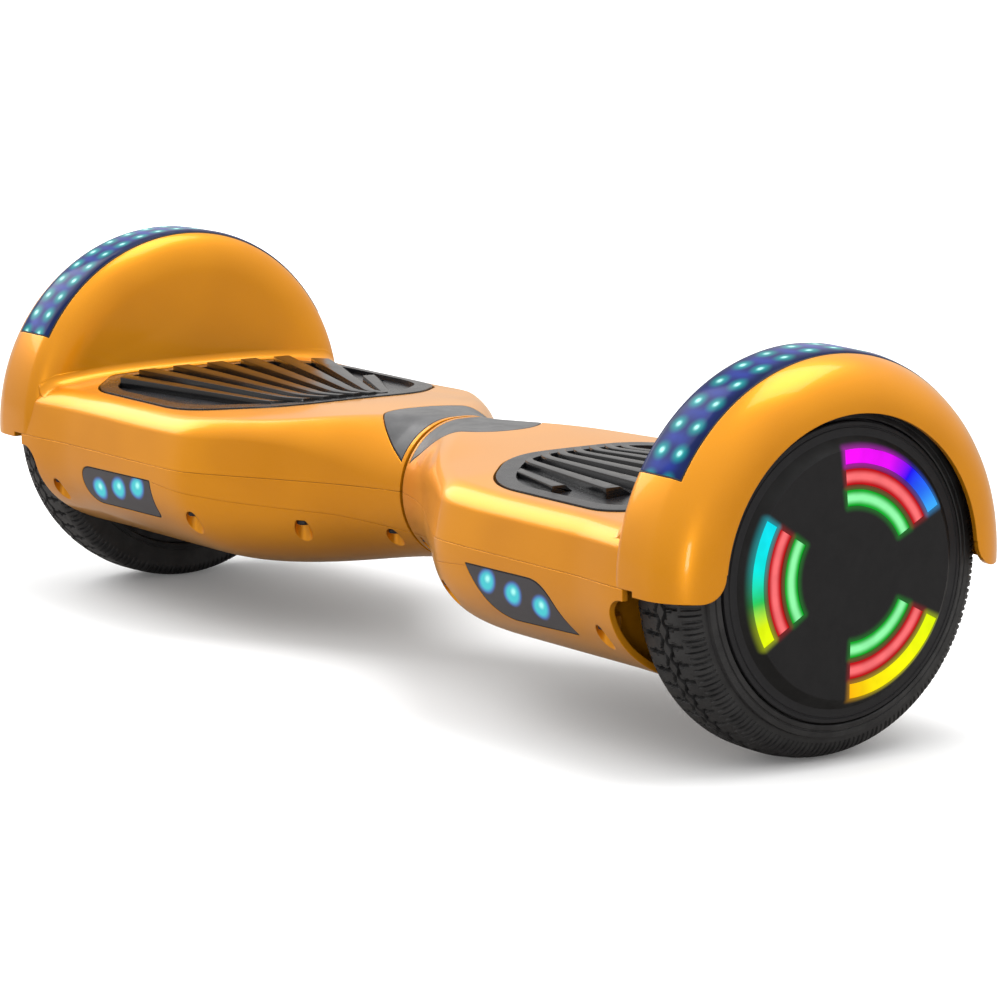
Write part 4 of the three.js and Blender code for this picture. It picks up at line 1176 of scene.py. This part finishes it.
# ---- Other CAD nodes ----
SLOT_FINISHES = {
    "circuit_board": CIRCUIT, "cast_aluminium": CAST, "steel": STEEL, "winding": COPPER,
    "battery_wrap": BATTERY, "cable_sheath": CABLE, "cover_plastic": BLACK_PLASTIC, "cap_rubber": CAP_BLACK_AND_GAP_SHADE,
    "trim_plastic": TRIM, "shell_paint": GOLD, "joint_plastic": SHADED_JOINT_GOLD, "pad_rubber": PAD,
    "tread_rubber": TYRE, "strip_lens": RIGHT_STRIP, "headlight_lens": HEADLIGHT, "light_guide": ARC,
    "rim_aluminium": DARK_METAL,
}


def finish_cad_nodes():
    """Gives every CAD node the node material of its slot; the ones still shown are inside the shells."""
    for part in frame["record"]["subparts"]:
        mesh = frame["nodes"][part["node"]].data
        mesh.materials.clear()
        mesh.materials.append(SLOT_FINISHES[part["material_slot"]])


# ---- Stage ----
FLOOR_R = 9000
FLOOR_GLOW = 0.09  # next to the board, where its shadow shows
FAR_FLOOR_GLOW = 0.6  # further out, so that the floor is as white as the background
GLOW_RISE = (450, 1800)  # distances from the middle of the board


def add_floor():
    rows = [[(FLOOR_R * math.cos(a), FLOOR_R * math.sin(a), z) for a in turns(64)] for z in (-20, 0)]
    finish = Finish("studio_floor")
    seen = finish.add("LightPath").outputs["Is Camera Ray"]
    pale = finish.mix(finish.noise(3, 2), (0.90, 0.90, 0.90), (0.92, 0.92, 0.92))
    x, y, _ = finish.axes()
    glowing = finish.remap(finish.hypot(x, y), *GLOW_RISE, FLOOR_GLOW, FAR_FLOOR_GLOW)
    finish.set(Base_Color=finish.mix(seen, (0.42, 0.40, 0.38), pale), Roughness=0.6, Specular_IOR_Level=0.1,
               Emission_Color=(1.0, 1.0, 1.0), Emission_Strength=finish.times(seen, glowing))
    floor = new_object("floor", loft(rows))
    floor.data.materials.append(finish.material)


def add_light(name, place, aim, size, watts):
    data = bpy.data.lights.new(name, "AREA")
    data.shape = "RECTANGLE"
    data.size, data.size_y = (s * MM for s in size)
    data.energy = watts
    lamp = new_object(name, data)
    lamp.location = Vector(place) * MM
    lamp.rotation_euler = (Vector(aim) - Vector(place)).to_track_quat("-Z", "Y").to_euler()


def add_world():
    """White to the camera, and a studio that is darker low down to every other ray."""
    world = bpy.data.worlds.new("studio")
    world.use_nodes = True
    bpy.context.scene.world = world
    nodes = Nodes(world.node_tree)
    nodes.tree.nodes.clear()
    height = nodes.add("SeparateXYZ", {0: nodes.add("TexCoord").outputs["Generated"]})
    shades = nodes.ramp(height.outputs["Z"], ((0.0, (0.50, 0.48, 0.46)), (0.75, (0.92, 0.92, 0.92))))
    studio = nodes.add("Background", {"Color": shades, "Strength": 1.25}).outputs[0]
    white = nodes.add("Background", {"Color": (1.0, 1.0, 1.0)}).outputs[0]
    seen = nodes.add("LightPath").outputs["Is Camera Ray"]
    mixer = nodes.add("MixShader", {0: seen, 1: studio, 2: white}).outputs[0]
    nodes.add("OutputWorld", {0: mixer})


CAMERA_PLACE = (1889.0, -1348.5, 483.9)
CAMERA_AIM = (30.94, 0, 80.10)
CAMERA_ROLL_DEG = 0.26
CAMERA_LENS = 176.9


def add_camera():
    data = bpy.data.cameras.new("camera")
    data.lens = CAMERA_LENS
    data.clip_end = 50
    camera = new_object("camera", data)
    camera.location = Vector(CAMERA_PLACE) * MM
    aim = (Vector(CAMERA_AIM) - Vector(CAMERA_PLACE)).to_track_quat("-Z", "Y")
    roll = Matrix.Rotation(math.radians(CAMERA_ROLL_DEG), 3, "Z").to_quaternion()
    camera.rotation_mode = "QUATERNION"
    camera.rotation_quaternion = aim @ roll
    bpy.context.scene.camera = camera


def add_stage():
    add_floor()
    add_world()
    add_light("top", (400, 500, 2100), (0, 0, 0), (1300, 1300), 24)
    add_light("left_high", (-1700, -500, 1400), (0, 0, 90), (1500, 1500), 24)
    add_light("front", (1700, -1600, 230), (200, 0, 90), (220, 400), 4)
    add_camera()
    bpy.context.scene.view_settings.view_transform = "Standard"


# ---- Build ----
finish_cad_nodes()
add_shells()
add_sockets()
add_pads()
add_wheels()
add_stage()
